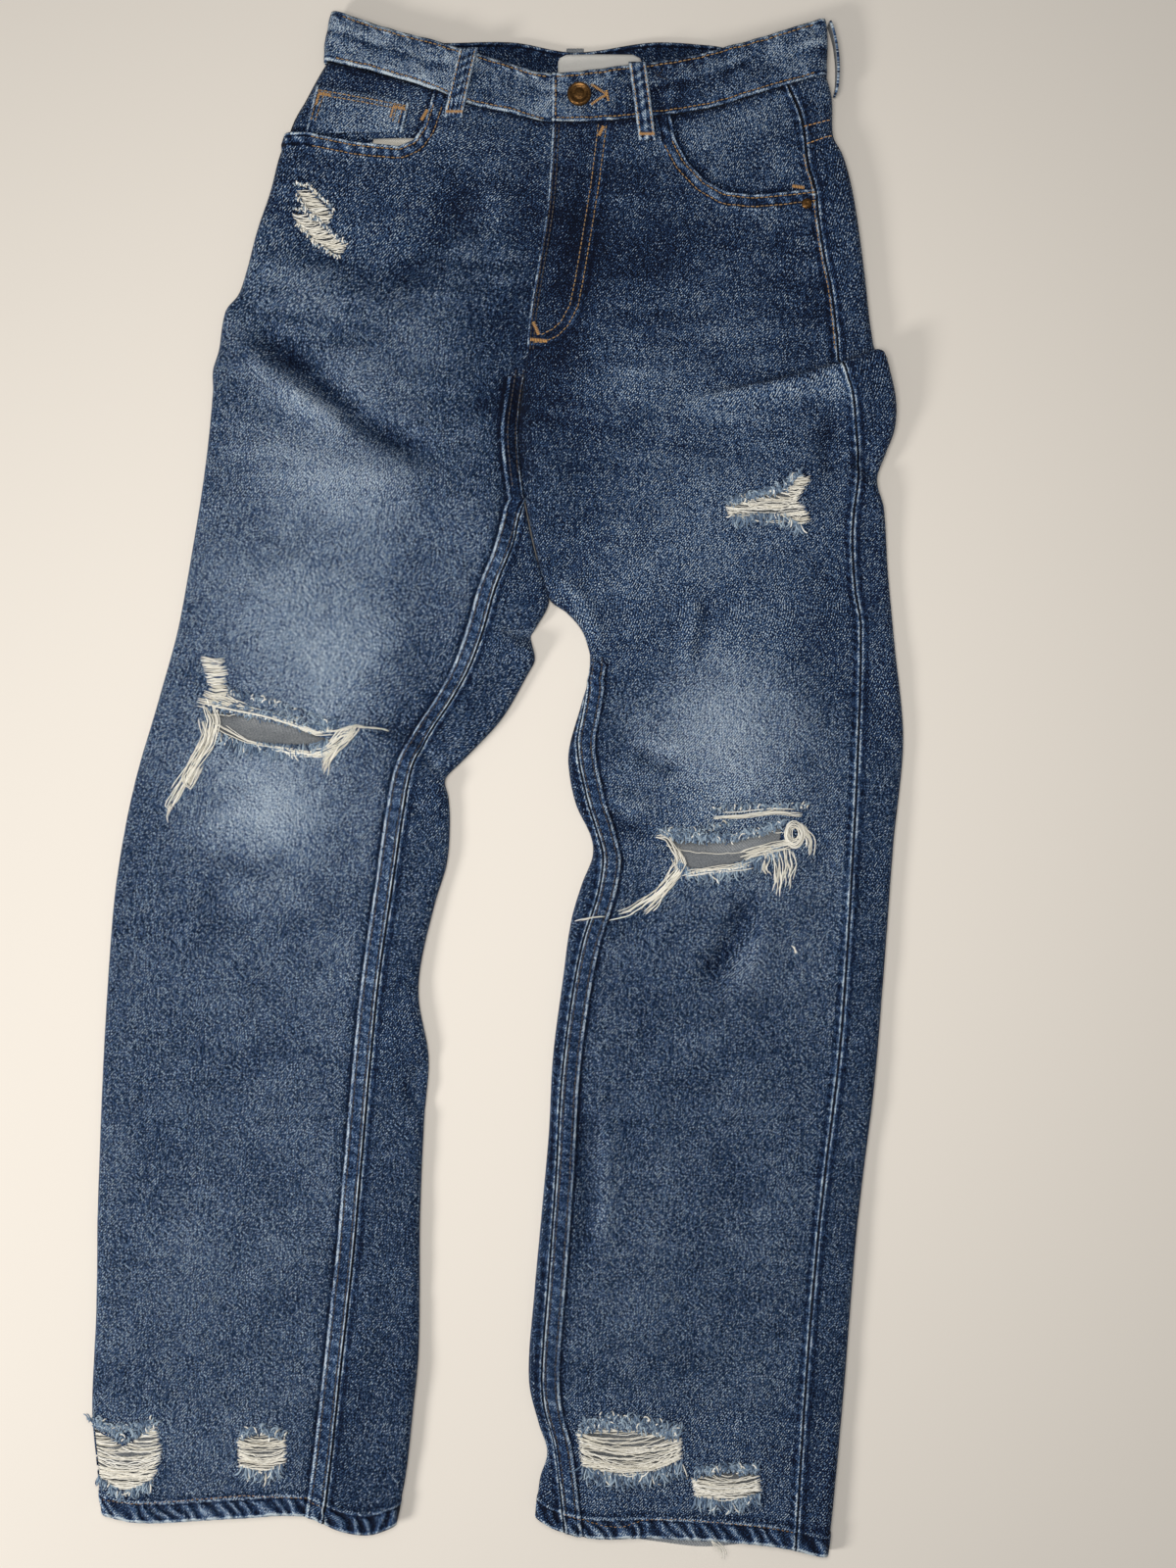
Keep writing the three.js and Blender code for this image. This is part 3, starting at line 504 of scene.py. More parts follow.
def yoke_line(x, under):
    """Level of the yoke seam: a shallow V across the seat."""
    out = np.clip(np.abs(x - 52) / np.where(x < 52, 165, 172), 0, 1)
    return mix(YOKE_SIDE, mix(YOKE_CENTRE, YOKE_SIDE, out), under > 0.5)


def below_yoke(level, x, under):
    seam = yoke_line(x, under)
    low = PANEL_WARP_FROM
    return np.where(level > low, low + (level - low) * (seam - low) / (YOKE_SIDE - low), level)


def above_yoke(level, x, under):
    seam = yoke_line(x, under)
    return WAIST - (WAIST - level) * (WAIST - seam) / (WAIST - YOKE_SIDE)


# ---------------------------------------------------------------- cloth as triangles, cut and thickened

class Patch:
    """Cloth as triangles: the middle places, their outward directions and info, a row for each place:
    u, v, how far it is on top, thickness, and the distances from the start and stop edges."""

    def __init__(self, cloth):
        rows, columns = cloth.u.shape
        self.points = cloth.points.reshape(-1, 3)
        self.normal = cloth.normals().reshape(-1, 3)
        self.info = np.stack([cloth.u, cloth.v, cloth.top, cloth.thick], axis=-1).reshape(-1, 4)
        width = np.abs(cloth.u[:, -1:] - cloth.u[:, :1])
        from_start = cloth.u - cloth.u[:, :1]
        from_edges = np.stack([from_start, width - from_start], -1)
        self.info = np.concatenate([self.info, from_edges.reshape(-1, 2)], 1)
        place = np.arange(rows * columns).reshape(rows, columns)
        a, b, c, d = place[:-1, :-1], place[1:, :-1], place[1:, 1:], place[:-1, 1:]
        halves = [np.stack([a, b, c], -1).reshape(-1, 3), np.stack([a, c, d], -1).reshape(-1, 3)]
        self.tri = np.concatenate(halves)

    def between(self, first, second, share):
        """New places on the edges first-second; gives their numbers."""
        key = np.stack([np.minimum(first, second), np.maximum(first, second)], -1)
        flat, back = np.unique(key.reshape(-1, 2), axis=0, return_inverse=True)
        t = np.zeros(len(flat))
        turned = (first > second).reshape(-1)
        t[back.reshape(-1)] = np.where(turned, 1 - share.reshape(-1), share.reshape(-1))
        start = len(self.points)
        for name in ("points", "normal", "info"):
            have = getattr(self, name)
            new = have[flat[:, 0]] * (1 - t)[:, None] + have[flat[:, 1]] * t[:, None]
            setattr(self, name, np.concatenate([have, new]))
        return start + back.reshape(first.shape)

    def refine(self, wanted):
        """Split the triangles whose middles are wanted in four, and their neighbours to match."""
        middle = self.points[self.tri].mean(axis=1)
        chosen = self.tri[wanted(middle[:, 0], middle[:, 1], middle[:, 2])]
        edges = np.concatenate([chosen[:, [0, 1]], chosen[:, [1, 2]], chosen[:, [2, 0]]])
        edges = np.unique(np.sort(edges, axis=1), axis=0)
        size = len(self.points)
        marks = set((edges[:, 0].astype(np.int64) * size + edges[:, 1]).tolist())
        tri = self.tri
        ends = np.stack([tri, np.roll(tri, -1, axis=1)], -1)
        keys = ends.min(axis=2).astype(np.int64) * size + ends.max(axis=2)
        split = np.isin(keys, np.fromiter(marks, np.int64, len(marks)))
        count = split.sum(axis=1)
        out = [tri[count == 0]]
        for number in (1, 2, 3):
            some, cut = tri[count == number], split[count == number]
            if len(some) == 0:
                continue
            turn = np.argmax(cut, axis=1) if number == 1 else np.mod(np.argmin(cut, axis=1) + 1, 3)
            pick = (turn[:, None] + np.arange(3)) % 3
            v = np.take_along_axis(some, pick, axis=1)
            half = np.full(len(v), 0.5)
            m01 = self.between(v[:, 0], v[:, 1], half)
            if number == 1:
                out += [np.stack([v[:, 0], m01, v[:, 2]], -1), np.stack([m01, v[:, 1], v[:, 2]], -1)]
                continue
            m12 = self.between(v[:, 1], v[:, 2], half)
            if number == 2:
                out += [np.stack([m01, v[:, 1], m12], -1), np.stack([v[:, 0], m01, m12], -1),
                        np.stack([v[:, 0], m12, v[:, 2]], -1)]
                continue
            m20 = self.between(v[:, 2], v[:, 0], half)
            out += [np.stack([v[:, 0], m01, m20], -1), np.stack([v[:, 1], m12, m01], -1),
                    np.stack([v[:, 2], m20, m12], -1), np.stack([m01, m12, m20], -1)]
        self.tri = np.concatenate(out)
        self.weld()

    def weld(self):
        """Make one place of those that coincide and drop the unused."""
        used, back = np.unique(self.tri, return_inverse=True)
        near = np.round(self.points[used] * 2000).astype(np.int64)
        _, first, same = np.unique(near, axis=0, return_index=True, return_inverse=True)
        for name in ("points", "normal", "info"):
            setattr(self, name, getattr(self, name)[used][first])
        tri = same.reshape(-1)[back.reshape(-1)].reshape(-1, 3)
        whole = (tri[:, 0] != tri[:, 1]) & (tri[:, 1] != tri[:, 2]) & (tri[:, 2] != tri[:, 0])
        self.tri = tri[whole]

    def clip(self, phi):
        """Keep the cloth where phi is above 0."""
        phi = np.where(np.abs(phi) < 1e-3, 1e-3, phi)
        inside = phi > 0
        count = inside[self.tri].sum(axis=1)
        out = [self.tri[count == 3]]
        for number in (1, 2):
            some = self.tri[count == number]
            lone = inside[some] if number == 1 else ~inside[some]
            pick = (np.argmax(lone, axis=1)[:, None] + np.arange(3)) % 3
            v = np.take_along_axis(some, pick, axis=1)
            share = [phi[v[:, 0]] / (phi[v[:, 0]] - phi[v[:, k]]) for k in (1, 2)]
            e1 = self.between(v[:, 0], v[:, 1], share[0])
            e2 = self.between(v[:, 0], v[:, 2], share[1])
            if number == 1:
                out.append(np.stack([v[:, 0], e1, e2], -1))
            else:
                out += [np.stack([e1, v[:, 1], v[:, 2]], -1), np.stack([e1, v[:, 2], e2], -1)]
        self.tri = np.concatenate(out)
        self.weld()


def to_frame(points):
    return (np.asarray(points) + ORIGIN) * MM


def mesh_object(name, points, faces, materials, face_material=None, attributes=()):
    """A mesh from places in millimetres and triangles, with attributes as (name, kind, values)."""
    mesh = bpy.data.meshes.new(name)
    points, faces = to_frame(points), np.asarray(faces)
    mesh.vertices.add(len(points))
    mesh.vertices.foreach_set("co", points.astype(np.float32).ravel())
    mesh.loops.add(faces.size)
    mesh.loops.foreach_set("vertex_index", faces.astype(np.int32).ravel())
    mesh.polygons.add(len(faces))
    mesh.polygons.foreach_set("loop_start", np.arange(0, faces.size, faces.shape[1], dtype=np.int32))
    mesh.update(calc_edges=True)
    mesh.polygons.foreach_set("use_smooth", np.full(len(faces), True))
    if face_material is not None:
        mesh.polygons.foreach_set("material_index", np.asarray(face_material, dtype=np.int32))
    for material in materials:
        mesh.materials.append(material)
    for key, kind, values in attributes:
        layer = mesh.attributes.new(key, kind, "POINT")
        layer.data.foreach_set("vector" if kind == "FLOAT_VECTOR" else "value",
                               np.asarray(values, dtype=np.float32).ravel())
    mesh.validate()
    mesh.update()
    thing = bpy.data.objects.new(name, mesh)
    bpy.context.scene.collection.objects.link(thing)
    return thing


def shell(name, patch, materials, fade, marks=None, inseam=None):
    """A closed shell of the patch's thickness: its outer face, its inner face and rims along the edges."""
    half = patch.normal * patch.info[:, 3:4] / 2
    outer, inner = patch.points + half, patch.points - half
    outer[:, 2] = np.maximum(outer[:, 2], FLOOR_GAP)
    inner[:, 2] = np.maximum(inner[:, 2], FLOOR_GAP)
    tri, size = patch.tri, len(patch.points)
    ends = np.concatenate([tri[:, [0, 1]], tri[:, [1, 2]], tri[:, [2, 0]]])
    key = np.sort(ends, axis=1)
    _, first, times = np.unique(key, axis=0, return_index=True, return_counts=True)
    rim = ends[first[times == 1]]
    rims = np.concatenate([np.stack([rim[:, 1], rim[:, 0], rim[:, 0] + size], -1),
                           np.stack([rim[:, 1], rim[:, 0] + size, rim[:, 1] + size], -1)])
    faces = np.concatenate([tri, tri[:, ::-1] + size, rims])
    kinds = np.concatenate([np.zeros(len(tri)), np.ones(len(tri)), np.zeros(len(rims))])
    info = np.concatenate([patch.info, patch.info])
    cloth = np.stack([info[:, 0], info[:, 1], np.zeros(len(info))], -1)
    seams = np.stack([info[:, 4], info[:, 5], info[:, 3]], -1)
    marks = np.full((size, 3), FAR) if marks is None else marks
    inseam = np.full(size, FAR) if inseam is None else inseam
    return mesh_object(name, np.concatenate([outer, inner]), faces, materials, kinds, [
        ("cloth", "FLOAT_VECTOR", cloth),
        ("seams", "FLOAT_VECTOR", seams),
        ("marks", "FLOAT_VECTOR", np.concatenate([marks, marks])),
        ("fade", "FLOAT", np.concatenate([fade, fade])),
        ("inseam", "FLOAT", np.concatenate([inseam, inseam]))])


def tubes(name, lines, radius, material, sides=5, tone=None):
    """Threads joined in one mesh: each line is an array of places, radius a number or one for each line."""
    points, faces, tones, start = [], [], [], 0
    radius = np.broadcast_to(np.asarray(radius, float), (len(lines),))
    tone = np.zeros(len(lines)) if tone is None else np.asarray(tone)
    turn = np.arange(sides) * 2 * math.pi / sides
    for line, r, shade in zip(lines, radius, tone):
        line = np.asarray(line, float)
        ahead = np.gradient(line, axis=0)
        ahead /= np.maximum(np.linalg.norm(ahead, axis=1, keepdims=True), 1e-9)
        side = np.cross(ahead, np.where(np.abs(ahead[:, 2:3]) > 0.9, [[1.0, 0, 0]], [[0, 0, 1.0]]))
        side /= np.maximum(np.linalg.norm(side, axis=1, keepdims=True), 1e-9)
        up = np.cross(side, ahead)
        width = np.full(len(line), r)
        width[[0, -1]] *= 0.35
        ring = line[:, None] + width[:, None, None] * (
            np.cos(turn)[None, :, None] * side[:, None] + np.sin(turn)[None, :, None] * up[:, None])
        points.append(ring.reshape(-1, 3))
        place = start + np.arange(len(line) * sides).reshape(len(line), sides)
        near, far = place[:-1], place[1:]
        quads = np.stack([near, far, np.roll(far, -1, 1), np.roll(near, -1, 1)], -1).reshape(-1, 4)
        faces.append(np.concatenate([quads[:, [0, 1, 2]], quads[:, [0, 2, 3]]]))
        for ends, flip in ((place[0], 1), (place[-1], -1)):
            fan = np.array([[ends[0], ends[k], ends[k + 1]] for k in range(1, sides - 1)])
            faces.append(fan[:, ::flip])
        tones.append(np.full(len(line) * sides, shade))
        start += len(line) * sides
    points = np.concatenate(points)
    points[:, 2] = np.maximum(points[:, 2], FLOOR_GAP)
    return mesh_object(name, points, np.concatenate(faces), [material], None,
                       [("tone", "FLOAT", np.concatenate(tones))])


# ---------------------------------------------------------------- materials

class Nodes:
    """A short way to write a material's nodes."""

    def __init__(self, name):
        self.material = bpy.data.materials.new(name)
        self.material.use_nodes = True
        self.tree = self.material.node_tree
        self.shader = self.tree.nodes["Principled BSDF"]

    def put(self, socket, value):
        if isinstance(value, bpy.types.NodeSocket):
            self.tree.links.new(value, socket)
        else:
            socket.default_value = value

    def math(self, operation, a, b=0.0, clamp=False):
        node = self.tree.nodes.new("ShaderNodeMath")
        node.operation, node.use_clamp = operation, clamp
        self.put(node.inputs[0], a)
        self.put(node.inputs[1], b)
        return node.outputs[0]

    def add(self, *terms):
        total = terms[0]
        for term in terms[1:]:
            total = self.math("ADD", total, term)
        return total

    def times(self, a, b):
        return self.math("MULTIPLY", a, b)

    def range(self, value, low, high, to_low=0.0, to_high=1.0):
        node = self.tree.nodes.new("ShaderNodeMapRange")
        node.interpolation_type = "SMOOTHSTEP"
        for socket, item in zip(node.inputs[:5], (value, low, high, to_low, to_high)):
            self.put(socket, item)
        return node.outputs[0]

    def attribute(self, name):
        node = self.tree.nodes.new("ShaderNodeAttribute")
        node.attribute_name = name
        return node

    def split(self, vector):
        node = self.tree.nodes.new("ShaderNodeSeparateXYZ")
        self.put(node.inputs[0], vector)
        return node.outputs

    def join(self, x, y, z=0.0):
        node = self.tree.nodes.new("ShaderNodeCombineXYZ")
        for socket, item in zip(node.inputs, (x, y, z)):
            self.put(socket, item)
        return node.outputs[0]

    def noise(self, vector, scale, detail=2.0, rough=0.5):
        node = self.tree.nodes.new("ShaderNodeTexNoise")
        self.put(node.inputs["Vector"], vector)
        node.inputs["Scale"].default_value = scale
        node.inputs["Detail"].default_value = detail
        node.inputs["Roughness"].default_value = rough
        return node.outputs["Fac"]

    def ramp(self, value, stops):
        node = self.tree.nodes.new("ShaderNodeValToRGB")
        ramp = node.color_ramp
        while len(ramp.elements) < len(stops):
            ramp.elements.new(0.5)
        for element, (at, color) in zip(ramp.elements, stops):
            element.position, element.color = at, (*color, 1.0)
        self.put(node.inputs[0], value)
        return node.outputs["Color"]

    def profile(self, value, stops):
        """A drawn curve of a distance: stops are (millimetres, amount from -1 to 1)."""
        grey = [(at / EDGE_REACH, (amount / 2 + 0.5,) * 3) for at, amount in stops]
        color = self.ramp(self.math("DIVIDE", value, EDGE_REACH, True), grey)
        return self.add(self.times(color, 2.0), -1.0)

    def bump(self, height, distance, strength=1.0):
        node = self.tree.nodes.new("ShaderNodeBump")
        self.put(node.inputs["Height"], height)
        node.inputs["Distance"].default_value = distance
        node.inputs["Strength"].default_value = strength
        self.put(self.shader.inputs["Normal"], node.outputs[0])


def linear(red, green, blue):
    """A colour given as it looks, 0 to 255, in the linear numbers that materials take."""
    return tuple(c / 255 / 12.92 if c <= 10 else ((c / 255 + 0.055) / 1.055) ** 2.4 for c in (red, green,
                                                                                              blue))


INDIGO = [(0.0, linear(5, 11, 27)), (0.25, linear(18, 33, 60)), (0.5, linear(42, 69, 108)),
          (0.75, linear(97, 123, 153)), (1.0, linear(188, 200, 208))]
# Edge looks: (millimetres from the edge, lighter or darker): the lighter stops are worn pale ridges, the
# darker ones painted shade in grooves and beside folded edges
FELLED = [(0, -0.4), (0.7, 0.8), (1.6, 0.2), (2.4, -0.4), (3.4, 0.15), (6, 0.05), (8.4, 0.05), (9.3, -0.4),
          (10.2, 0.45), (11.4, 0.5), (12.6, -0.6), (15, -0.1), (20, 0)]
PLAIN = [(0, -0.8), (0.7, 0.1), (1.4, 0.6), (2.4, 0.1), (4, -0.12), (7, 0), (20, 0)]
FOLDED = [(0, 0.6), (0.9, 0.5), (1.8, -0.3), (3, 0.1), (4.2, -0.2), (5.4, 0.05), (20, 0)]
ROLLED = [(0, 0.2), (0.8, 0.55), (1.7, 0.25), (2.5, -0.35), (3.6, 0.15), (6.8, 0.1), (8.3, -0.4),
          (9.6, 0.15), (12, 0), (20, 0)]
BAND_EDGE = [(0, 0.2), (0.8, 0.5), (1.7, 0.15), (2.6, -0.4), (3.8, 0.12), (6.5, 0), (20, 0)]
TOPSTITCHED = [(0, -0.15), (1.6, 0.25), (3, 0), (6, 0), (20, 0)]
TURNED = [(0, 0.6), (1.2, 0.8), (2.4, 0.05), (6, 0.05), (11, 0.0), (12.4, -0.3), (13.6, 0.35), (16, -0.2),
          (20, 0)]
NO_EDGE = [(0, 0), (20, 0)]


def denim(name, start_edge=NO_EDGE, stop_edge=NO_EDGE, opening=NO_EDGE, hem=NO_EDGE, fly=NO_EDGE,
          inseam=NO_EDGE,
          shift=-0.235, hem_rope=0.3):
    """Indigo denim with white weft. Its edges are worn, puckered and given painted shade in their grooves, by
    the distances kept on the mesh.
    """
    n = Nodes(name)
    u, v, _ = n.split(n.attribute("cloth").outputs["Vector"])
    from_start, from_stop, _ = n.split(n.attribute("seams").outputs["Vector"])
    open_at, hem_at, fly_at = n.split(n.attribute("marks").outputs["Vector"])
    inseam_at = n.attribute("inseam").outputs["Fac"]
    flat = n.join(u, v)
    pucker = n.math("SINE", n.add(n.times(v, 0.85), n.times(u, 0.35), n.times(n.noise(flat, 0.05, 1), 14)))
    rope = n.math("SINE", n.add(n.times(u, 0.62), n.times(v, 0.5), n.times(n.noise(flat, 0.05, 1), 12)))
    uneven = n.range(n.noise(flat, 0.09, 2), 0.3, 0.7, 0.55, 1.35)
    seams = 0.0
    waves = 0.0
    covered = 0.0
    edges = [(from_start, start_edge, pucker, 0.09), (from_stop, stop_edge, pucker, 0.14),
             (open_at, opening, rope, 0.2), (hem_at, hem, rope, hem_rope), (fly_at, fly, pucker, 0.08),
             (inseam_at, inseam, pucker, 0.1)]
    for distance, stops, wave, strength in edges:
        if stops is NO_EDGE:
            continue
        size = n.math("ABSOLUTE", distance)
        near = n.range(size, stops[-2][0], stops[-2][0] * 0.6)
        seams = n.add(seams, n.profile(size, stops))
        waves = n.add(waves, n.times(n.times(near, wave), strength))
        covered = n.math("MAXIMUM", covered, near)
    mottle = n.add(n.times(n.noise(flat, 0.018, 3), 0.28), n.times(n.noise(flat, 0.075, 2), 0.2), -0.24)
    streaks = n.add(n.times(n.noise(n.join(n.times(u, 0.8), n.times(v, 0.035)), 1.0, 2), 0.36), -0.18)
    along_twill = n.add(n.times(v, 0.76), n.times(u, 0.65))
    across_twill = n.add(n.times(u, 0.76), n.times(v, -0.65))
    fine = n.noise(n.join(n.times(along_twill, 0.75), n.times(across_twill, 2.0)), 1.0, 0)
    coarse = n.noise(n.join(n.times(along_twill, 0.12), n.times(across_twill, 0.6)), 1.0, 1, 0.6)
    slubs = n.noise(n.join(n.times(u, 1.1), n.times(v, 0.12)), 1.0, 1, 0.6)
    twill = n.times(n.math("SINE", n.times(across_twill, 4.4)), n.range(coarse, 0.3, 0.6, 0.4, 1.0))
    grain = n.add(n.times(n.add(fine, -0.5), 2.7), n.times(n.add(coarse, -0.5), 0.3),
                  n.times(n.add(slubs, -0.5), 0.7), n.times(twill, 0.28))
    grain = n.times(grain, n.range(covered, 0, 1, 1.0, 0.65))
    fade = n.add(n.times(n.attribute("fade").outputs["Fac"], 1.35), shift, mottle, streaks, grain,
                 n.times(n.times(seams, uneven), 1.05), n.times(waves, uneven))
    color = n.ramp(fade, INDIGO)
    n.put(n.shader.inputs["Base Color"], color)
    n.put(n.shader.inputs["Roughness"], n.range(fade, 0, 1, 0.88, 0.96))
    n.shader.inputs["Specular IOR Level"].default_value = 0.08
    n.shader.inputs["Sheen Weight"].default_value = 0.03
    n.shader.inputs["Sheen Roughness"].default_value = 0.6
    height = n.add(n.times(grain, 0.05), n.times(waves, 3.0), n.times(seams, 0.6))
    n.bump(height, 0.0012, 0.9)
    return n.material


def plain_cloth(name, stops, scale, grain, bump=0.0004, rough=0.95):
    """Undyed or inner cloth: a fine plain or twill weave with soft stains."""
    n = Nodes(name)
    u, v, _ = n.split(n.attribute("cloth").outputs["Vector"])
    flat = n.join(u, v)
    weave = n.times(n.math("SINE", n.times(u, scale)), n.math("SINE", n.times(v, scale)))
    stain = n.noise(flat, 0.03, 3)
    specks = n.noise(flat, 0.8, 2, 0.7)
    value = n.add(n.times(stain, 0.5), n.times(n.add(specks, -0.5), grain), n.times(weave, 0.05), 0.2)
    n.put(n.shader.inputs["Base Color"], n.ramp(value, stops))
    n.shader.inputs["Roughness"].default_value = rough
    n.shader.inputs["Specular IOR Level"].default_value = 0.15
    n.shader.inputs["Sheen Weight"].default_value = 0.15
    n.bump(n.add(weave, specks), bump, 0.7)
    return n.material


def thread(name, stops):
    """Yarn: tone moves along the colours, with a fine twist."""
    n = Nodes(name)
    place = n.tree.nodes.new("ShaderNodeTexCoord").outputs["Object"]
    tone = n.attribute("tone").outputs["Fac"]
    twist = n.noise(place, 1500, 2)
    n.put(n.shader.inputs["Base Color"], n.ramp(n.add(tone, n.times(n.add(twist, -0.5), 0.35), 0.5), stops))
    n.shader.inputs["Roughness"].default_value = 0.85
    n.shader.inputs["Specular IOR Level"].default_value = 0.25
    n.shader.inputs["Sheen Weight"].default_value = 0.2
    n.bump(twist, 0.0002, 0.6)
    return n.material


def brass(name, dark, bright):
    """Worn metal, brighter where it is rubbed."""
    n = Nodes(name)
    place = n.tree.nodes.new("ShaderNodeTexCoord").outputs["Object"]
    worn = n.noise(place, 420, 4, 0.6)
    rub = n.range(n.noise(place, 1800, 3), 0.4, 0.65)
    mixed = n.add(n.times(worn, 0.9), n.times(rub, 0.25), -0.1)
    n.put(n.shader.inputs["Base Color"], n.ramp(mixed, [(0.25, dark), (0.75, bright)]))
    n.put(n.shader.inputs["Roughness"], n.range(worn, 0.3, 0.7, 0.5, 0.32))
    n.shader.inputs["Metallic"].default_value = 0.92
    n.bump(worn, 0.0002, 0.5)
    return n.material


left_front_denim = denim("denim_front_left", start_edge=FOLDED, stop_edge=PLAIN, opening=ROLLED, hem=TURNED,
                         fly=TOPSTITCHED, inseam=FELLED)
right_front_denim = denim("denim_front_right", opening=ROLLED, hem=TURNED, inseam=FELLED)
back_denim = denim("denim_back", start_edge=PLAIN, stop_edge=PLAIN, hem=TURNED)
band_denim = denim("denim_band", opening=BAND_EDGE, hem=BAND_EDGE, start_edge=BAND_EDGE, stop_edge=BAND_EDGE,
                   hem_rope=0.1)
loop_denim = denim("denim_loop", start_edge=ROLLED, stop_edge=ROLLED)
inside_denim = plain_cloth("denim_inside",
    [(0.15, linear(104, 110, 118)), (0.5, linear(146, 150, 154)), (0.85, linear(190, 192, 192))], 3.0, 0.9)
white_cotton = plain_cloth("pocket_cotton",
    [(0.2, linear(186, 180, 168)), (0.7, linear(228, 223, 212))], 5.0, 0.25)
tape = plain_cloth("label_tape",
    [(0.2, linear(222, 219, 212)), (0.7, linear(238, 236, 230))], 6.0, 0.12)
weft_white = thread("frayed_weft",
    [(0.0, linear(196, 190, 174)), (0.5, linear(232, 228, 216)), (1.0, linear(252, 250, 243))])
warp_blue = thread("frayed_warp",
    [(0.0, linear(26, 42, 70)), (0.5, linear(78, 103, 132)), (1.0, linear(160, 178, 192))])
stitch_thread = thread("topstitch_thread",
    [(0.0, linear(40, 42, 50)), (0.35, linear(112, 94, 70)), (0.6, linear(174, 136, 84)),
     (1.0, linear(214, 160, 92))])
button_metal = brass("antique_brass", linear(48, 34, 20), linear(146, 106, 60))


# ---------------------------------------------------------------- where the cloth is worn, torn and sewn, and where shade is painted on it

RIGHT_OPENING = [(-43, 486), (-46, 475), (-51, 459), (-58, 449), (-68, 445), (-100, 448), (-132, 455),
                 (-160, 455)]
LEFT_OPENING = [(121, 470), (125, 450), (133, 435), (146, 421), (160, 413), (179, 411), (202, 413),
                (236, 417)]
RIGHT_HEM_STITCH = [(-277, -503), (-253, -506), (-228, -504), (-177, -500), (-134, -502), (-117, -511),
                    (-97, -515), (-72, -513)]
LEFT_HEM_STITCH = [(36, -505), (51, -514), (76, -521), (88, -522), (103, -517), (126, -516), (159, -519),
                   (193, -523), (229, -530)]
J_STITCH = [(77, 460), (72, 420), (66, 383), (61, 353), (57, 333), (50, 320), (43, 313), (33, 308), (24, 308)]
FADES = [  # (x, y, radius x, radius y, amount) on the fronts
    (-115, 205, 64, 95, 0.18), (-140, 90, 58, 75, 0.22), (-165, -15, 46, 50, 0.3), (-40, 400, 60, 30, -0.1),
    (-140, 345, 60, 30, 0.1), (5, 300, 40, 60, -0.1), (-250, -250, 40, 200, -0.03), (-60, 60, 26, 90, -0.05),
    (175, 345, 60, 60, -0.05), (100, 375, 50, 44, -0.16), (160, 200, 60, 80, 0.1), (160, 30, 55, 60, 0.3),
    (165, -70, 50, 50, 0.05), (45, 390, 26, 70, -0.24), (30, 230, 34, 70, -0.16), (110, 292, 60, 14, 0.07),
    (-40, 160, 40, 60, -0.02), (-150, 305, 30, 30, -0.08),
    (225, 130, 26, 160, -0.08), (120, 120, 34, 60, -0.04), (140, -220, 80, 110, -0.03),
    (36, 420, 10, 60, 0.14),
    (150, 338, 46, 7, 0.07), (140, 316, 60, 6, 0.08), (120, 268, 52, 7, 0.07), (-90, 372, 44, 8, 0.08),
    (-80, 330, 50, 8, 0.07), (-105, 300, 44, 7, 0.07), (-70, 38, 20, 14, -0.1), (80, 25, 20, 14, -0.1),
    (60, 130, 20, 70, -0.05), (-190, 395, 24, 40, -0.08),
]
TEARS = [  # (whose leg, outline, share of wefts left across it)
    ("right", [(-138, 415), (-133, 415), (-116, 398), (-119, 392), (-130, 401)], 1.0),
    ("right", [(-140, 399), (-134, 398), (-107, 376), (-110, 371), (-126, 381), (-139, 394)], 1.0),
    ("left", [(163, 195), (184, 201), (200, 204), (212, 216), (219, 213), (209, 200), (219, 186), (214, 181),
              (200, 189), (182, 189), (165, 188)], 1.0),
    ("right", [(-203, 52), (-177, 48), (-155, 43), (-129, 35), (-118, 31), (-128, 27), (-155, 27), (-180, 30),
               (-194, 35), (-202, 44)], 0.06),
    ("left", [(116, -37), (126, -40), (164, -41), (177, -39), (200, -31), (198, -42), (180, -52), (156, -60),
              (134, -61), (127, -52)], 0.05),
    ("right", [(-283, -452), (-273, -460), (-262, -467), (-250, -459), (-240, -451), (-237, -470),
               (-243, -490),
               (-262, -497), (-281, -486)], 0.75),
    ("right", [(-180, -459), (-165, -456), (-150, -460), (-150, -478), (-165, -484), (-179, -480)], 1.0),
    ("left", [(58, -456), (80, -452), (105, -455), (128, -460), (128, -474), (110, -482), (85, -485),
              (62, -480)], 1.0),
    ("left", [(139, -487), (160, -484), (183, -486), (184, -499), (165, -503), (141, -501)], 1.0),
]


def front_fade(x, y, height):
    """How pale the fronts are: paler at the worn marks, with whiskers at the hips, and painted light and
    shade of the folds, with wear on their crests: paler on ridges and darker in troughs.
    """
    hips = smooth(190, 260, y)
    # 0.03 * height is painted light and shade of the folds, with wear on their crests: ridges lighter,
    # troughs darker.
    fade = np.where(x < centre_front(np.maximum(y, 200)), 0.39, 0.36) - 0.04 * hips + 0.03 * height
    fade = fade + 0.07 * hips * noise(x * 0.16, y + 0.1 * x, 8, 31) + 0.03 * noise(x * 0.4, y, 12, 32)
    for cx, cy, rx, ry, amount in FADES:
        fade = fade + amount * bell(x, y, cx, cy, rx, ry)
    return fade


def inside_outline(x, y, outline):
    """Signed distance from a closed outline, + inside it."""
    x, y = np.asarray(x, float), np.asarray(y, float)
    away, _ = to_line(x, y, list(outline) + [outline[0]])
    crossings = np.zeros(x.shape, int)
    for (ax, ay), (bx, by) in zip(outline, outline[1:] + outline[:1]):
        spans = (ay > y) != (by > y)
        at = ax + (y - ay) * (bx - ax) / (by - ay if by != ay else 1e-9)
        crossings += spans & (x < at)
    return np.where(crossings % 2 == 1, 1, -1) * np.abs(away)


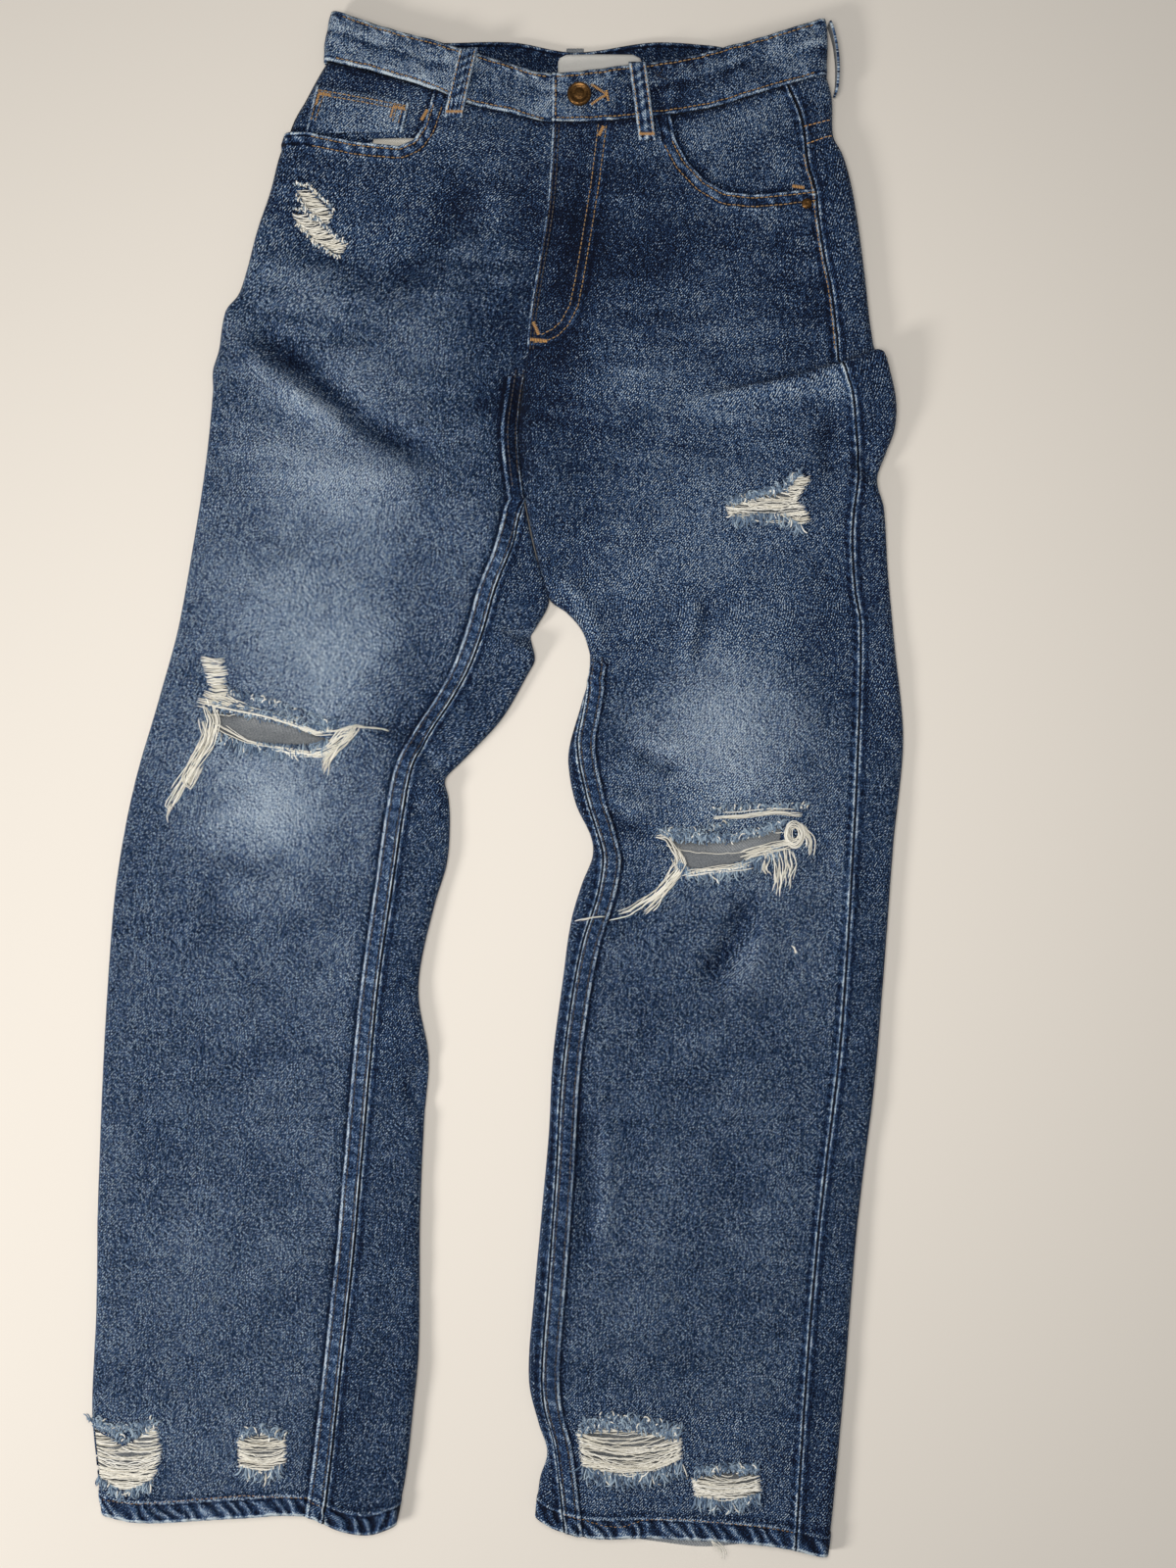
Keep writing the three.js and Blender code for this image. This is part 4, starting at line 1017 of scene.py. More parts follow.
def panel_marks(points, level, leg, opening=None, fly=None):
    """Distances from the pocket opening, the hem and the fly's stitches."""
    x, y, z = points.T

    def distance(line):
        return np.where(z > 5, np.abs(to_line(x, y, line)[0]), FAR) if line else np.full(len(x), FAR)

    return np.stack([distance(opening), level - HEM[leg], distance(fly)], -1)


def hem_rows(high, leg):
    """Levels down a panel, with close ones where the turned hem begins and none just at the crotch."""
    turn = HEM[leg] + HEM_TURN
    rows = levels_between(high, turn)
    rows = np.concatenate([rows, [turn - 0.4], np.linspace(turn - 2, HEM[leg], 6)])
    return np.where(np.abs(rows - CROTCH) < 0.8, CROTCH + 1.0, rows)


def lift_fly(cloth):
    """The wearer's left front lies over the right one down the fly, with a fold along its edge."""
    level, across = cloth.v, cloth.u - cloth.u[:, :1]
    lift = 1.5 * smooth(285, 300, level) * (1 - smooth(1, 26, across))
    cloth.raise_by(lift - 0.7 * np.exp(-((across / 0.9) ** 2)) * (level > 290))


def raise_seams(cloth, leg):
    """The felled inseam stands up as a strip, and the turned hem is drawn into slanting ropes."""
    level, from_start = cloth.v, cloth.u - cloth.u[:, :1]
    if leg == "right":
        across, sewn_here = cloth.u[:, -1:] - cloth.u, smooth(290, 283, level)
    else:
        across, sewn_here = from_start, smooth(92, 84, level)
    strip_height = smooth(12.6, 10.6, across) - 0.7 * np.exp(-(((across - 14) / 2.4) ** 2))
    wave = 0.14 * np.sin(level * 0.8 + across * 0.4)
    cloth.raise_by(sewn_here * (1.0 * strip_height + wave * smooth(16, 8, across)) * (cloth.top > 0.4))
    hem = level - HEM[leg]
    rope = np.sin(cloth.u * 0.78 + hem * 0.5 + 1.5 * noise(cloth.u, level, 30, 8))
    cloth.raise_by(0.42 * rope * smooth(15.5, 12, hem) * smooth(-1, 4, hem))


FELLED_OFF = 90  # added to a distance where its edge has no such look
KEPT = 9  # how far inside the kept cloth the lower layer counts when the upper one is cut


def front_panel(leg, start, stop, columns, opening, beyond, fly, materials):
    rows = hem_rows(WAIST, leg)
    cloth = strip(rows, part_of(leg), start, stop, columns)
    if leg == "left":
        lift_fly(cloth)
    raise_seams(cloth, leg)
    away = np.abs(to_line(cloth.points[..., 0], cloth.points[..., 1], opening)[0])
    edge_strip = 1.1 * smooth(10, 7.5, away) - 0.5 * np.exp(-(((away - 12) / 2) ** 2))
    cloth.raise_by(edge_strip * (cloth.top > 0.5))
    patch = Patch(cloth)
    ground = BVHTree.FromPolygons((patch.points + patch.normal * 0.6).tolist(), patch.tri.tolist())
    tears = [outline for whose, outline, _ in TEARS if whose == leg]

    def near_cut(reach):
        def wanted(x, y, z):
            near = np.zeros(x.shape, bool)
            for outline in tears:
                near |= np.abs(inside_outline(x, y, outline)) < reach
            near |= np.abs(to_line(x, y, opening)[0]) < reach / 2
            return near & (z > TOP_ABOVE)
        return wanted

    patch.refine(near_cut(6))
    patch.refine(near_cut(3))
    x, y, z = patch.points.T
    patch.clip(np.where(z > TOP_ABOVE, -inside_outline(x, y, opening + beyond), KEPT))
    for outline in tears:
        x, y, z = patch.points.T
        ragged = 0.9 * noise(x, y, 2.2, 21) + 0.6 * noise(x, y, 1.0, 22)
        patch.clip(np.where(z > TOP_ABOVE, ragged - inside_outline(x, y, outline), KEPT))
    x, y, z = patch.points.T
    height, _ = fold_height(x, y)
    fade = front_fade(x, y, height)
    level = patch.info[:, 1]
    # Painted shadow: a dark line just below the waist seam, where the waistband's lower edge shades the
    # front.
    fade = fade - 0.3 * np.exp(-(((WAIST - level) / 3.5) ** 2))
    for outline in tears:
        fade = fade - 0.06 * np.exp(-((np.maximum(-inside_outline(x, y, outline), 0) / 6) ** 2))
    marks = panel_marks(patch.points, level, leg, opening, fly)
    # The right's felled strip runs up the leg and on beside the centre front as far as the fly. The left's
    # ends below the crotch, and its folded edge is the fly's alone.
    if leg == "right":
        inseam = patch.info[:, 5] + FELLED_OFF * smooth(285, 292, level)
    else:
        inseam = patch.info[:, 4] + FELLED_OFF * smooth(84, 96, level)
        patch.info[:, 4] += FELLED_OFF * smooth(300, 292, level)
    return shell(f"{leg}_front_cloth", patch, materials, fade, marks, inseam), ground


def back_panel(leg, start, stop, columns):
    """A back, with a paler seat where it has been sat on."""
    rows = hem_rows(YOKE_SIDE - 0.3, leg)
    patch = Patch(strip(rows, part_of(leg), start, stop, columns, warp=below_yoke))
    x, y, z = patch.points.T
    top = smooth(3, 8, z)
    seat = bell(x, y, 150 if leg == "left" else -60, 330, 60, 60)
    fade = 0.3 + 0.16 * (1 - top) + 0.2 * seat * (1 - top)
    marks = panel_marks(patch.points, patch.info[:, 1], leg)
    return shell(f"{leg}_back_cloth", patch, [back_denim, inside_denim], fade, marks)


def plain_panel(name, rows, start, stop, columns, materials, fade, sink=0.0, warp=None, cloth=None,
                beside=None):
    """A small panel of the hip, darker in the shadow of the waistband and of the opening it lies beside."""
    patch = Patch(strip(rows, part_of("hip"), start, stop, columns, sink=sink, warp=warp))
    if cloth:
        patch.info[:, 3] = cloth
    x, y, _ = patch.points.T
    fade = fade + 0.1 * noise(x, y, 18, 35)
    if beside:
        fade = fade - 0.3 * np.exp(-((to_line(x, y, beside)[0] / 3.5) ** 2))
        fade = fade - 0.3 * np.exp(-(((WAIST - patch.info[:, 1]) / 4) ** 2))
    return shell(name, patch, materials, fade)


# The openings' outlines go on round the cloth that is cut away
RIGHT_BEYOND = [(-240, 455), (-240, 600), (-43, 600)]
LEFT_BEYOND = [(236, 600), (121, 600)]

DENIM_FACES = [back_denim, inside_denim]
right_front, right_ground = front_panel("right", right_outseam, by_level(front_edge, right_inseam), 82,
                                        RIGHT_OPENING, RIGHT_BEYOND, None, [right_front_denim, inside_denim])
left_front, left_ground = front_panel("left", by_level(front_edge, left_inseam), left_outseam, 84,
                                      LEFT_OPENING, LEFT_BEYOND, J_STITCH, [left_front_denim, inside_denim])
right_back = back_panel("right", by_level(back_edge, right_inseam), right_outseam_under, 60)
left_back = back_panel("left", left_outseam, by_level(back_edge, left_inseam_under), 64)
yoke_rows = levels_between(WAIST, YOKE_SIDE, 4)
right_yoke = plain_panel("right_yoke_cloth", yoke_rows, back_edge, right_outseam_under, 42, DENIM_FACES, 0.42,
                         warp=above_yoke)
left_yoke = plain_panel("left_yoke_cloth", yoke_rows, left_outseam, back_edge, 48, DENIM_FACES, 0.32,
                        warp=above_yoke)
right_facing = plain_panel("right_facing_cloth", levels_between(WAIST, 400), right_outseam, at_x(-30), 50,
                           DENIM_FACES, 0.34, sink=2.8, beside=RIGHT_OPENING)
left_facing = plain_panel("left_facing_cloth", levels_between(WAIST, 380), at_x(108), left_outseam, 50,
                          DENIM_FACES, 0.4, sink=1.5, beside=LEFT_OPENING)

COIN_TOP, COIN_LOW = 445, 417
BAG_TOP, BAG_LOW = 425, 396


def coin_slope(level, x, under):
    """The coin pocket's rows slope with the pocket opening, most at its top."""
    return level + (x + 130) / 66 * mix(12, 3, (level - COIN_LOW) / (COIN_TOP - COIN_LOW))


def bag_slope(level, x, under):
    """The pocket bag's rolled edge slopes up towards the fly."""
    return level + 2.5 + (x + 56) * 0.22


coin = plain_panel("coin_pocket_cloth", levels_between(COIN_TOP, COIN_LOW, 2),
                   slanting(-134, -126, COIN_LOW, COIN_TOP), slanting(-66, -61, COIN_LOW, COIN_TOP), 30,
                   [band_denim, inside_denim], 0.48, sink=1.3, warp=coin_slope, beside=RIGHT_OPENING)
bag = plain_panel("pocket_bag_cloth", levels_between(BAG_TOP, BAG_LOW, 2),
                  slanting(-92, -86, BAG_LOW, BAG_TOP), slanting(-46, -56, BAG_LOW, BAG_TOP), 20,
                  [white_cotton, white_cotton], 0.5, sink=1.4, cloth=1.0, warp=bag_slope)


# ---------------------------------------------------------------- waistband, label, loops, back pockets

OVERLAP_X, UNDERLAP, BAND_LEAN = 39, 34, 5
BAND_ROWS, BAND_COLUMNS = 17, 420
band_ring = Loop(WAIST, "hip")
BAND_LOW = band_ring.low - DENIM / 2 + BAND_CLOTH / 2


def band_fade(x, y, z, height):
    """Broad patches, a broken crease painted along the band as a dark line of painted shade with a painted
    highlight beside it, and fine mottling.
    """
    fade = 0.42 + 0.1 * noise(x, y, 40, 5) + 0.14 * np.exp(-(((x + 80) / 60) ** 2))
    fade = fade - 0.08 * np.exp(-(((x - 100) / 50) ** 2))
    crease_at = 0.52 + 0.12 * noise(x, y * 0, 26, 33)
    broken = np.clip(0.6 + 1.2 * noise(x, y, 14, 34), 0, 1)
    # Painted crease: a dark line of painted shade, and just above it a paler line of painted highlight.
    fade = fade - 0.2 * broken * np.exp(-(((height - crease_at) / 0.06) ** 2))
    fade = fade + 0.18 * broken * np.exp(-(((height - crease_at - 0.15) / 0.07) ** 2))
    fade = fade + 0.12 * noise(x + 0.6 * y, y * 2, 9, 31) + 0.08 * noise(x * 2, y * 0.6, 7, 32)
    return np.where(z < 8, 0.2, fade)


def waistband():
    """One strip round the waist. It starts at the overlap and its last stretch sinks beneath its start."""
    start = band_ring.on_top(OVERLAP_X)
    stop = start + band_ring.length + UNDERLAP
    s = np.linspace(start, stop, BAND_COLUMNS)
    x, z = band_ring.at(s)
    nx, nz = band_ring.outward(s)
    loft_here = float(loft(WAIST))
    under = smooth(0, 1, (band_ring.low + loft_here - z) / loft_here)
    sink = 2.5 * smooth(stop - UNDERLAP - 34, stop - UNDERLAP, s)
    bottom = WAIST + mix(front_rise(x), back_rise(x), under) + SEAM_GAP
    top = mix(band_front_top(x), band_back_top(x), under)
    heights = np.linspace(1, 0, BAND_ROWS)
    rows = []
    for height in heights:
        lean = BAND_LEAN * height * np.clip((OVERLAP_X - x) / 160, 0, 1)
        y = mix(bottom, top, height)
        lifted, _ = fold_height(x, y)
        lip = -0.5 * (2 * height - 1) ** 8
        creased = 0.35 * np.sin(s / 2.6 + 3 * height) + 0.8 * noise(s, y * 1.6, 9, 13)
        creased = creased + 1.0 * noise(s + y, y, 22, 14)
        up = (np.clip(lifted, -2, 2) * 0.6 + creased) * (1 - under) + lip
        lowered = (BAND_LOW - band_ring.low) * under
        rows.append(np.stack([x + lean + nx * up, y, z - sink * nz + nz * up + lowered], -1))
    points = np.array(rows)
    shape = points.shape[:2]
    patch = Patch(Cloth(points, np.broadcast_to(1 - under, shape), np.broadcast_to(s, shape), points[..., 1],
                        np.full(shape, BAND_CLOTH)))
    height = np.repeat(heights, BAND_COLUMNS)
    deep = np.tile(top - bottom, BAND_ROWS)
    marks = np.stack([(1 - height) * deep, height * deep, np.full(len(height), FAR)], -1)
    fade = band_fade(*patch.points.T, height)
    thing = shell("waistband_cloth", patch, [band_denim, band_denim], fade, marks)
    ground = BVHTree.FromPolygons((patch.points + patch.normal * 1.1).tolist(), patch.tri.tolist())
    return thing, ground


def slab(name, middle, across, width, thick, fade):
    """A strip of cloth: the middle line's places, the unit direction across it and its width."""
    share = np.linspace(-0.5, 0.5, 9)
    middle = np.stack(middle, -1)
    points = middle[:, None] + np.array(across)[None, None, :] * (width * share[None, :, None])
    shape = points.shape[:2]
    u = np.broadcast_to(share * width, shape)
    v = np.broadcast_to(run_along(middle)[:, None], shape)
    patch = Patch(Cloth(points, np.ones(shape), u, v, np.full(shape, thick)))
    return shell(name, patch, [loop_denim, inside_denim], np.full(len(patch.points), fade))


def surface_z(grounds, x, y):
    """Height of the first of the surfaces met straight down at a place, or None where there is none."""
    for ground in grounds:
        hit = ground.ray_cast(Vector((x, y, 60)), Vector((0, 0, -1)))
        if hit[0] is not None:
            return max(hit[0].z, 0.0)
    return None


waistband_cloth, band_ground = waistband()


def band_top(x):
    return band_ring.low + float(loft(WAIST)) + BAND_CLOTH / 2


def ground_of(thing):
    """A piece's surface in millimetres, to set other things on."""
    mesh = thing.data
    points = np.array([thing.matrix_world @ vertex.co for vertex in mesh.vertices]) / MM - ORIGIN
    return BVHTree.FromPolygons(points.tolist(), [tuple(face.vertices) for face in mesh.polygons])


def loop_bow(share):
    """How far a front belt loop stands off the band along its length."""
    return 2.0 * np.sin(math.pi * share) ** 0.7


LOOP_LOW = band_top(0) + SEAM_GAP
FRONT_LOOPS = [  # (name, top, bottom, width)
    ("belt_loop_front_right_cloth", (-19, 513), (-30, 465), 13),
    ("belt_loop_front_left_cloth", (98.5, 503), (105.5, 449), 12),
]


def front_loop(name, top, bottom, width):
    share = np.linspace(0, 1, 26)
    x, y = mix(top[0], bottom[0], share), mix(top[1], bottom[1], share)
    z = LOOP_LOW + LOOP_CLOTH / 2 + loop_bow(share)
    lower = np.array([surface_z([left_ground, right_ground], a, b) or 0 for a, b in zip(x, y)])
    z = np.where(share > 0.93, np.maximum(lower + SEAM_GAP + LOOP_CLOTH / 2, z - 1.5), z)
    return slab(name, (x, y, z), (1, 0, 0), width, LOOP_CLOTH, 0.5)


def side_loop():
    """The left side loop, seen on its edge: it lies round the band's end."""
    share = np.linspace(0, 1, 26)
    bow = 3.5 * np.sin(math.pi * share) ** 0.7
    x = band_ring.right + BAND_CLOTH / 2 + LOOP_CLOTH / 2 + 0.9 + bow + 4 * share
    z = np.full(26, band_ring.low + float(loft(WAIST)) / 2)
    return slab("belt_loop_side_left_cloth", (x, mix(534, 484, share), z), (0, 0, -1), 10, LOOP_CLOTH, 0.45)


def hidden_loop(name, top, bottom):
    """A loop on the underside, pressed flat by the garment's weight."""
    share = np.linspace(0, 1, 20)
    middle = (mix(top[0], bottom[0], share), mix(top[1], bottom[1], share), np.full(20, LOOP_CLOTH / 2))
    return slab(name, middle, (-1, 0, 0), 12, LOOP_CLOTH - 0.05, 0.42)


loop_right, loop_left = (front_loop(*facts) for facts in FRONT_LOOPS)
loop_side = side_loop()
loop_side_right = hidden_loop("belt_loop_side_right_cloth", (-98, 531), (-100, 480))
loop_back = hidden_loop("belt_loop_back_cloth", (55, 520), (55, 470))

POCKET_TOP, POCKET_WIDTH, POCKET_SIDE, POCKET_DEPTH = 412, 135, 118, 150


def back_pocket(name, x):
    """A patch pocket on the underside: straight top, slightly narrowing sides and a pointed bottom."""
    wide = POCKET_WIDTH / 2
    rows = []
    for level in np.linspace(0, 1, 34):
        half = mix(wide, wide - 4, level)
        line = np.linspace(half, -half, 31)
        low = mix(POCKET_DEPTH, POCKET_SIDE, np.abs(line) / half)
        rows.append(np.stack([x + line, POCKET_TOP - level * low, np.full(31, LOOP_CLOTH / 2 + 0.2)], -1))
    points = np.array(rows)
    shape = points.shape[:2]
    u = x - points[..., 0]
    patch = Patch(Cloth(points, np.zeros(shape), u, points[..., 1], np.full(shape, LOOP_CLOTH - 0.05)))
    px, py, _ = patch.points.T
    fade = 0.46 + 0.14 * bell(px, py, x, 340, 40, 45)
    side_y = POCKET_TOP - POCKET_SIDE
    outline = [(x - wide, POCKET_TOP), (x + wide, POCKET_TOP), (x + wide - 4, side_y),
               (x, POCKET_TOP - POCKET_DEPTH), (x - wide + 4, side_y)]
    away = np.abs(inside_outline(px, py, outline))
    marks = np.stack([away, np.full(len(px), FAR), np.full(len(px), FAR)], -1)
    return shell(name, patch, [band_denim, inside_denim], fade, marks)


pocket_right = back_pocket("back_pocket_right_cloth", -45)
pocket_left = back_pocket("back_pocket_left_cloth", 145)


def label():
    """A blank tape on the inside of the band's back, with rounded top corners."""
    corner = 6
    rows = []
    for share in np.linspace(1, 0, 12):
        y = LABEL_Y + LABEL_HEIGHT * share
        drop = max(0.0, y - (LABEL_Y + LABEL_HEIGHT - corner))
        half = LABEL_WIDTH / 2 - (corner - math.sqrt(max(0.0, corner * corner - drop * drop)))
        line = np.linspace(-half, half, 24)
        bow = 0.35 * np.cos(line / LABEL_WIDTH * 5) * share
        rows.append(np.stack([LABEL_X + line, np.full(24, y), 5.0 + bow], -1))
    points = np.array(rows)
    shape = points.shape[:2]
    patch = Patch(Cloth(points, np.ones(shape), points[..., 0], points[..., 1], np.full(shape, 0.9)))
    return shell("waist_label_tape", patch, [tape, tape], np.full(len(patch.points), 0.5))


label_tape = label()


def turned(name, profile, x, y, z, material, sides=48):
    """A shape turned about an upright axis: profile is (radius, height) from bottom middle to top middle."""
    turn = np.arange(sides) * 2 * math.pi / sides
    cos, sin = np.cos(turn), np.sin(turn)
    points = np.concatenate([
        np.stack([x + r * cos, y + r * sin, np.full(sides, z + h)], -1) for r, h in profile])
    faces = []
    for k in range(len(profile) - 1):
        near = k * sides + np.arange(sides)
        far = near + sides
        beside = np.roll(far, -1)
        faces += [np.stack([near, np.roll(near, -1), beside], -1), np.stack([near, beside, far], -1)]
    return mesh_object(name, points, np.concatenate(faces), [material])


def dense(profile, step=0.25):
    """More places along a profile, rounded where it turns."""
    profile = np.array(profile, float)
    line = resample(profile, step)
    for _ in range(2):
        line[1:-1] = (line[:-2] + 2 * line[1:-1] + line[2:]) / 4
    return [*line, profile[-1]]


def button_profile():
    """A shank, a raised rim and a low dome in the middle."""
    r = 8.5
    seat = BAND_CLOTH + 0.6
    return dense([(0.01, 0), (2.6, 0), (2.6, seat), (r - 0.6, seat), (r, seat + 0.9), (r - 0.4, seat + 2.2),
                  (r - 1.6, seat + 3.0), (r - 2.8, seat + 2.5), (r - 3.8, seat + 1.8), (r - 5, seat + 1.8),
                  (r - 5.8, seat + 2.4), (0.01, seat + 2.6)])


button = turned("waist_button_turned", button_profile(), 58, 481, band_top(0) - BAND_CLOTH - 0.2,
                button_metal)
RIVET_PROFILE = dense([(0.01, 0), (3.6, 0), (3.6, 0.64), (2.5, 1.44), (1.3, 1.6), (0.01, 1.3)], 0.12)
rivet = turned("pocket_rivet_turned", RIVET_PROFILE, 217, 405, surface_z([left_ground], 217, 405) + 0.1,
               button_metal)


# ---------------------------------------------------------------- stitching

PITCH = 3.3  # from one stitch to the next
PLACE_STEP = 0.66  # between the five places of a stitch that follows no surface


def sunk(count):
    """How much each place of a stitch dips: nothing in the middle, 1 at its ends."""
    return np.abs(np.linspace(-1, 1, count)) ** 3


def sew(line, grounds, lift=0.22):
    """Stitches along a line seen from above, each dipping into the cloth at its ends."""
    fine = resample(line, PITCH / 6)
    stitches = []
    for start in range(0, len(fine) - 5, 6):
        part = fine[start:start + 6] + rng.normal(0, 0.06, 2)
        heights = [surface_z(grounds, *place) for place in part]
        if None not in heights:
            stitches.append(np.column_stack([part, np.array(heights) + lift - 0.45 * sunk(6)]))
    return stitches


def sew_below(line, z=0.12):
    """Stitches on the underside, at a height: they dip upwards at their ends."""
    fine = resample(line, PLACE_STEP)
    starts = range(0, len(fine) - 5, 5)
    return [np.column_stack([fine[start:start + 5], z + 0.2 * sunk(5)]) for start in starts]


def tack(a, b, width, grounds, lift=0.35):
    """A bar tack: dense stitches across a short line."""
    a, b = np.array(a, float), np.array(b, float)
    ahead = (b - a) / np.linalg.norm(b - a)
    side = np.array([-ahead[1], ahead[0]])
    stitches = []
    for k, place in enumerate(resample([a, b], 0.55)):
        ends = np.linspace(-1, 1, 5)[:, None] * side * width / 2 + place + ahead * 0.25 * (-1) ** k
        heights = [surface_z(grounds, *end) for end in ends]
        if None not in heights:
            dip = 0.3 * np.linspace(-1, 1, 5) ** 2
            stitches.append(np.column_stack([ends, np.array(heights) + lift - dip]))
    return stitches


def seam_of(edge, inset, high, low, leg):
    """A line beside a seam on the upper side, as places seen from above."""
    places = []
    for level in np.arange(high, low, -3.0):
        part = part_of(leg)(level)
        loop = Loop(level, part)
        x, z = loop.at(edge(loop, level) + inset)
        if z > loop.low + loop.high * 0.6:
            places.append((float(x), float(level + rise_at(level, part, x, 0.0))))
    return places


TAN, DARK, ORANGE = 0.04, -0.42, 0.34  # tones of the stitch thread
STITCH_RADIUS = 0.37
GROUNDS = {"right_front": [right_ground], "left_front": [left_ground], "waistband": [band_ground],
           "left_back": [ground_of(left_yoke), ground_of(left_back)]}
sewn = {"right_front": [], "left_front": [], "waistband": [], "left_back": [], "right_back": []}


def add_stitches(piece, stitches, tone):
    sewn[piece] += [(stitch, tone + rng.normal(0, 0.05)) for stitch in stitches]


def row(piece, line, tone=TAN, **lift):
    """A row of stitches on the upper side."""
    add_stitches(piece, sew(line, GROUNDS[piece], **lift), tone)


def row_below(piece, line, z=0.12):
    """A row of stitches on the underside."""
    add_stitches(piece, sew_below(line, z), TAN)


for inset in (2.4, 9.2):
    row("right_front", seam_of(right_inseam, -inset, 190, -512, "right"), DARK)
    row("left_front", seam_of(left_inseam, inset, 88, -526, "left"), DARK)
row("left_front", seam_of(left_outseam, -2.2, 416, 300, "left"))
row("left_front", J_STITCH)
row("left_front", offset_line(J_STITCH, -5.5)[:-2])
for line in ([(215, 459), (226, 462), (237, 465)], [(217, 447), (228, 451), (240, 455)]):
    row("left_back", line, ORANGE)
for inset in (1.8, 4.2):
    row("left_front", seam_of(front_edge, inset, 460, 300, "left"), DARK)
for inset in (1.6, 7.0):
    row("right_front", seam_of(front_edge, -inset, 290, 205, "right"), DARK)
for inset in (2.5, 8.4):
    row("right_front", offset_line(RIGHT_OPENING[1:-1], inset))
    row("left_front", offset_line(LEFT_OPENING[1:], -inset))
row("right_front", RIGHT_HEM_STITCH, lift=0.45)
row("left_front", LEFT_HEM_STITCH, lift=0.45)

# Coin pocket: a double row along its top, a double row down each side and two tacks at each upper corner.
# It lies below the surface that the front had before its opening was cut, so they are set lower.
for drop in (2.0, 5.0):
    row("right_front", [(-124, 487 - drop), (-62, 475.5 - drop)], lift=-0.75)
for line in ([(-124, 486), (-130, 464)], [(-120, 485), (-127, 463)],
             [(-65, 474), (-69, 460)], [(-69, 475), (-73, 461)]):
    row("right_front", line, lift=-0.75)
for x, y in ((-124, 483), (-72, 473.5)):
    for start, end, width in (((x, y), (x + 8, y - 1.6), 2.2), ((x, y - 1), (x - 2, y - 8), 1.6)):
        add_stitches("right_front", tack(start, end, width, GROUNDS["right_front"], -0.6), ORANGE)

for piece, a, b in (("left_front", (238, 307), (241, 298)), ("left_front", (26, 322), (30, 313)),
                    ("left_front", (24, 310), (36, 309)), ("left_front", (75, 459), (72, 453)),
                    ("left_front", (207, 417), (215, 416)), ("right_front", (-48, 470), (-52, 463))):
    add_stitches(piece, tack(a, b, 2.6, [left_ground, right_ground]), ORANGE)


def band_line(along_top, start_x, stop_x):
    """A line just inside the waistband's lower edge, or its top edge."""
    inset = 2.6
    line = []
    for x in np.arange(start_x, stop_x, 3.0):
        low, high = WAIST + float(front_rise(x)) + SEAM_GAP, float(band_front_top(x))
        lean = BAND_LEAN * along_top * max(0.0, min(1.0, (OVERLAP_X - x) / 160))
        line.append((x + lean, high - inset if along_top else low + inset))
    return line


for along_top in (False, True):
    row("waistband", band_line(along_top, 42, 226))
    row("waistband", band_line(along_top, -112, 38))
row("waistband", [(41.5, 466), (41.5, 494)])
# The band's back: the row along its top shows from above where the front is lower, and from below
back_band_row = [(x, float(band_back_top(x)) - 2.8) for x in np.arange(-100, 225, 3.0)]
for stitch in sew(back_band_row, GROUNDS["waistband"]):
    if stitch[:, 2].max() < 12:
        add_stitches("waistband", [stitch], ORANGE)
BELOW_HIPS = HIP_RAISE + 0.1
row_below("waistband", back_band_row, BELOW_HIPS)
row_below("waistband", [(x, WAIST + float(back_rise(x)) + 3) for x in np.arange(-105, 225, 3.0)], BELOW_HIPS)
# The buttonhole: two rows of close stitches that meet in a bar
for a, b in (((66.5, 488), (77, 481.5)), ((66.5, 474.5), (77, 481)), ((77, 484), (78.5, 477))):
    add_stitches("waistband", tack(a, b, 2.0, GROUNDS["waistband"], 0.4), ORANGE)


def sew_loop(top, bottom, width):
    """A stitch row down each side of a front belt loop and a bar tack near its bottom."""
    for side in (-0.36, 0.36):
        share = np.linspace(0.04, 0.95, 50)
        x = mix(top[0], bottom[0], share) + side * width
        z = LOOP_LOW + LOOP_CLOTH + loop_bow(share)
        line = resample(np.stack([x, mix(top[1], bottom[1], share), z], -1), PLACE_STEP)
        for start in range(0, len(line) - 5, 5):
            part = line[start:start + 5].copy()
            part[:, 2] += 0.12 - 0.3 * sunk(5)
            add_stitches("waistband", [part], TAN)
    for k in range(14):
        x = mix(top[0], bottom[0], 0.93) + mix(-0.42, 0.42, k / 13) * width
        y = mix(top[1], bottom[1], 0.93)
        z = LOOP_LOW + LOOP_CLOTH + loop_bow(0.93)
        stitch = np.array([(x, y + 1.3, z), (x + 0.2, y, z + 0.15), (x, y - 1.3, z)])
        sewn["waistband"].append((stitch, ORANGE))


for _, top, bottom, width in FRONT_LOOPS:
    sew_loop(top, bottom, width)

# Hidden underside: back pockets, yokes, seat seam and hems
for middle, piece in ((-45, "right_back"), (145, "left_back")):
    for inset in (2.0, 8.0):
        w = POCKET_WIDTH / 2 - inset
        side_y = POCKET_TOP - POCKET_SIDE + inset * 0.3
        row_below(piece, [(middle - w, POCKET_TOP - 2), (middle - w + 4, side_y),
                          (middle, POCKET_TOP - POCKET_DEPTH + inset), (middle + w - 4, side_y),
                          (middle + w, POCKET_TOP - 2)])
    row_below(piece, [(middle - 64, POCKET_TOP - 12), (middle + 64, POCKET_TOP - 12)])
yoke_row = [(x, float(yoke_line(x, 1.0)) + float(back_rise(x)) * float(smooth(300, WAIST, 415)) + 2.5)
            for x in np.arange(-120, 215, 3.0)]
row_below("left_back", yoke_row, BELOW_HIPS)
seat_row = [(float(centre_back(level)) + 3, level) for level in np.arange(395, 214, -3.0)]
row_below("left_back", seat_row, BELOW_HIPS)
for leg, shift, start, stop in (("right", right_hem_shift, -272, -80),
                                ("left", left_hem_back_shift, 36, 226)):
    row_below(f"{leg}_back", [(x, HEM[leg] + float(shift(x)) + 12) for x in np.arange(start, stop, 3.0)])

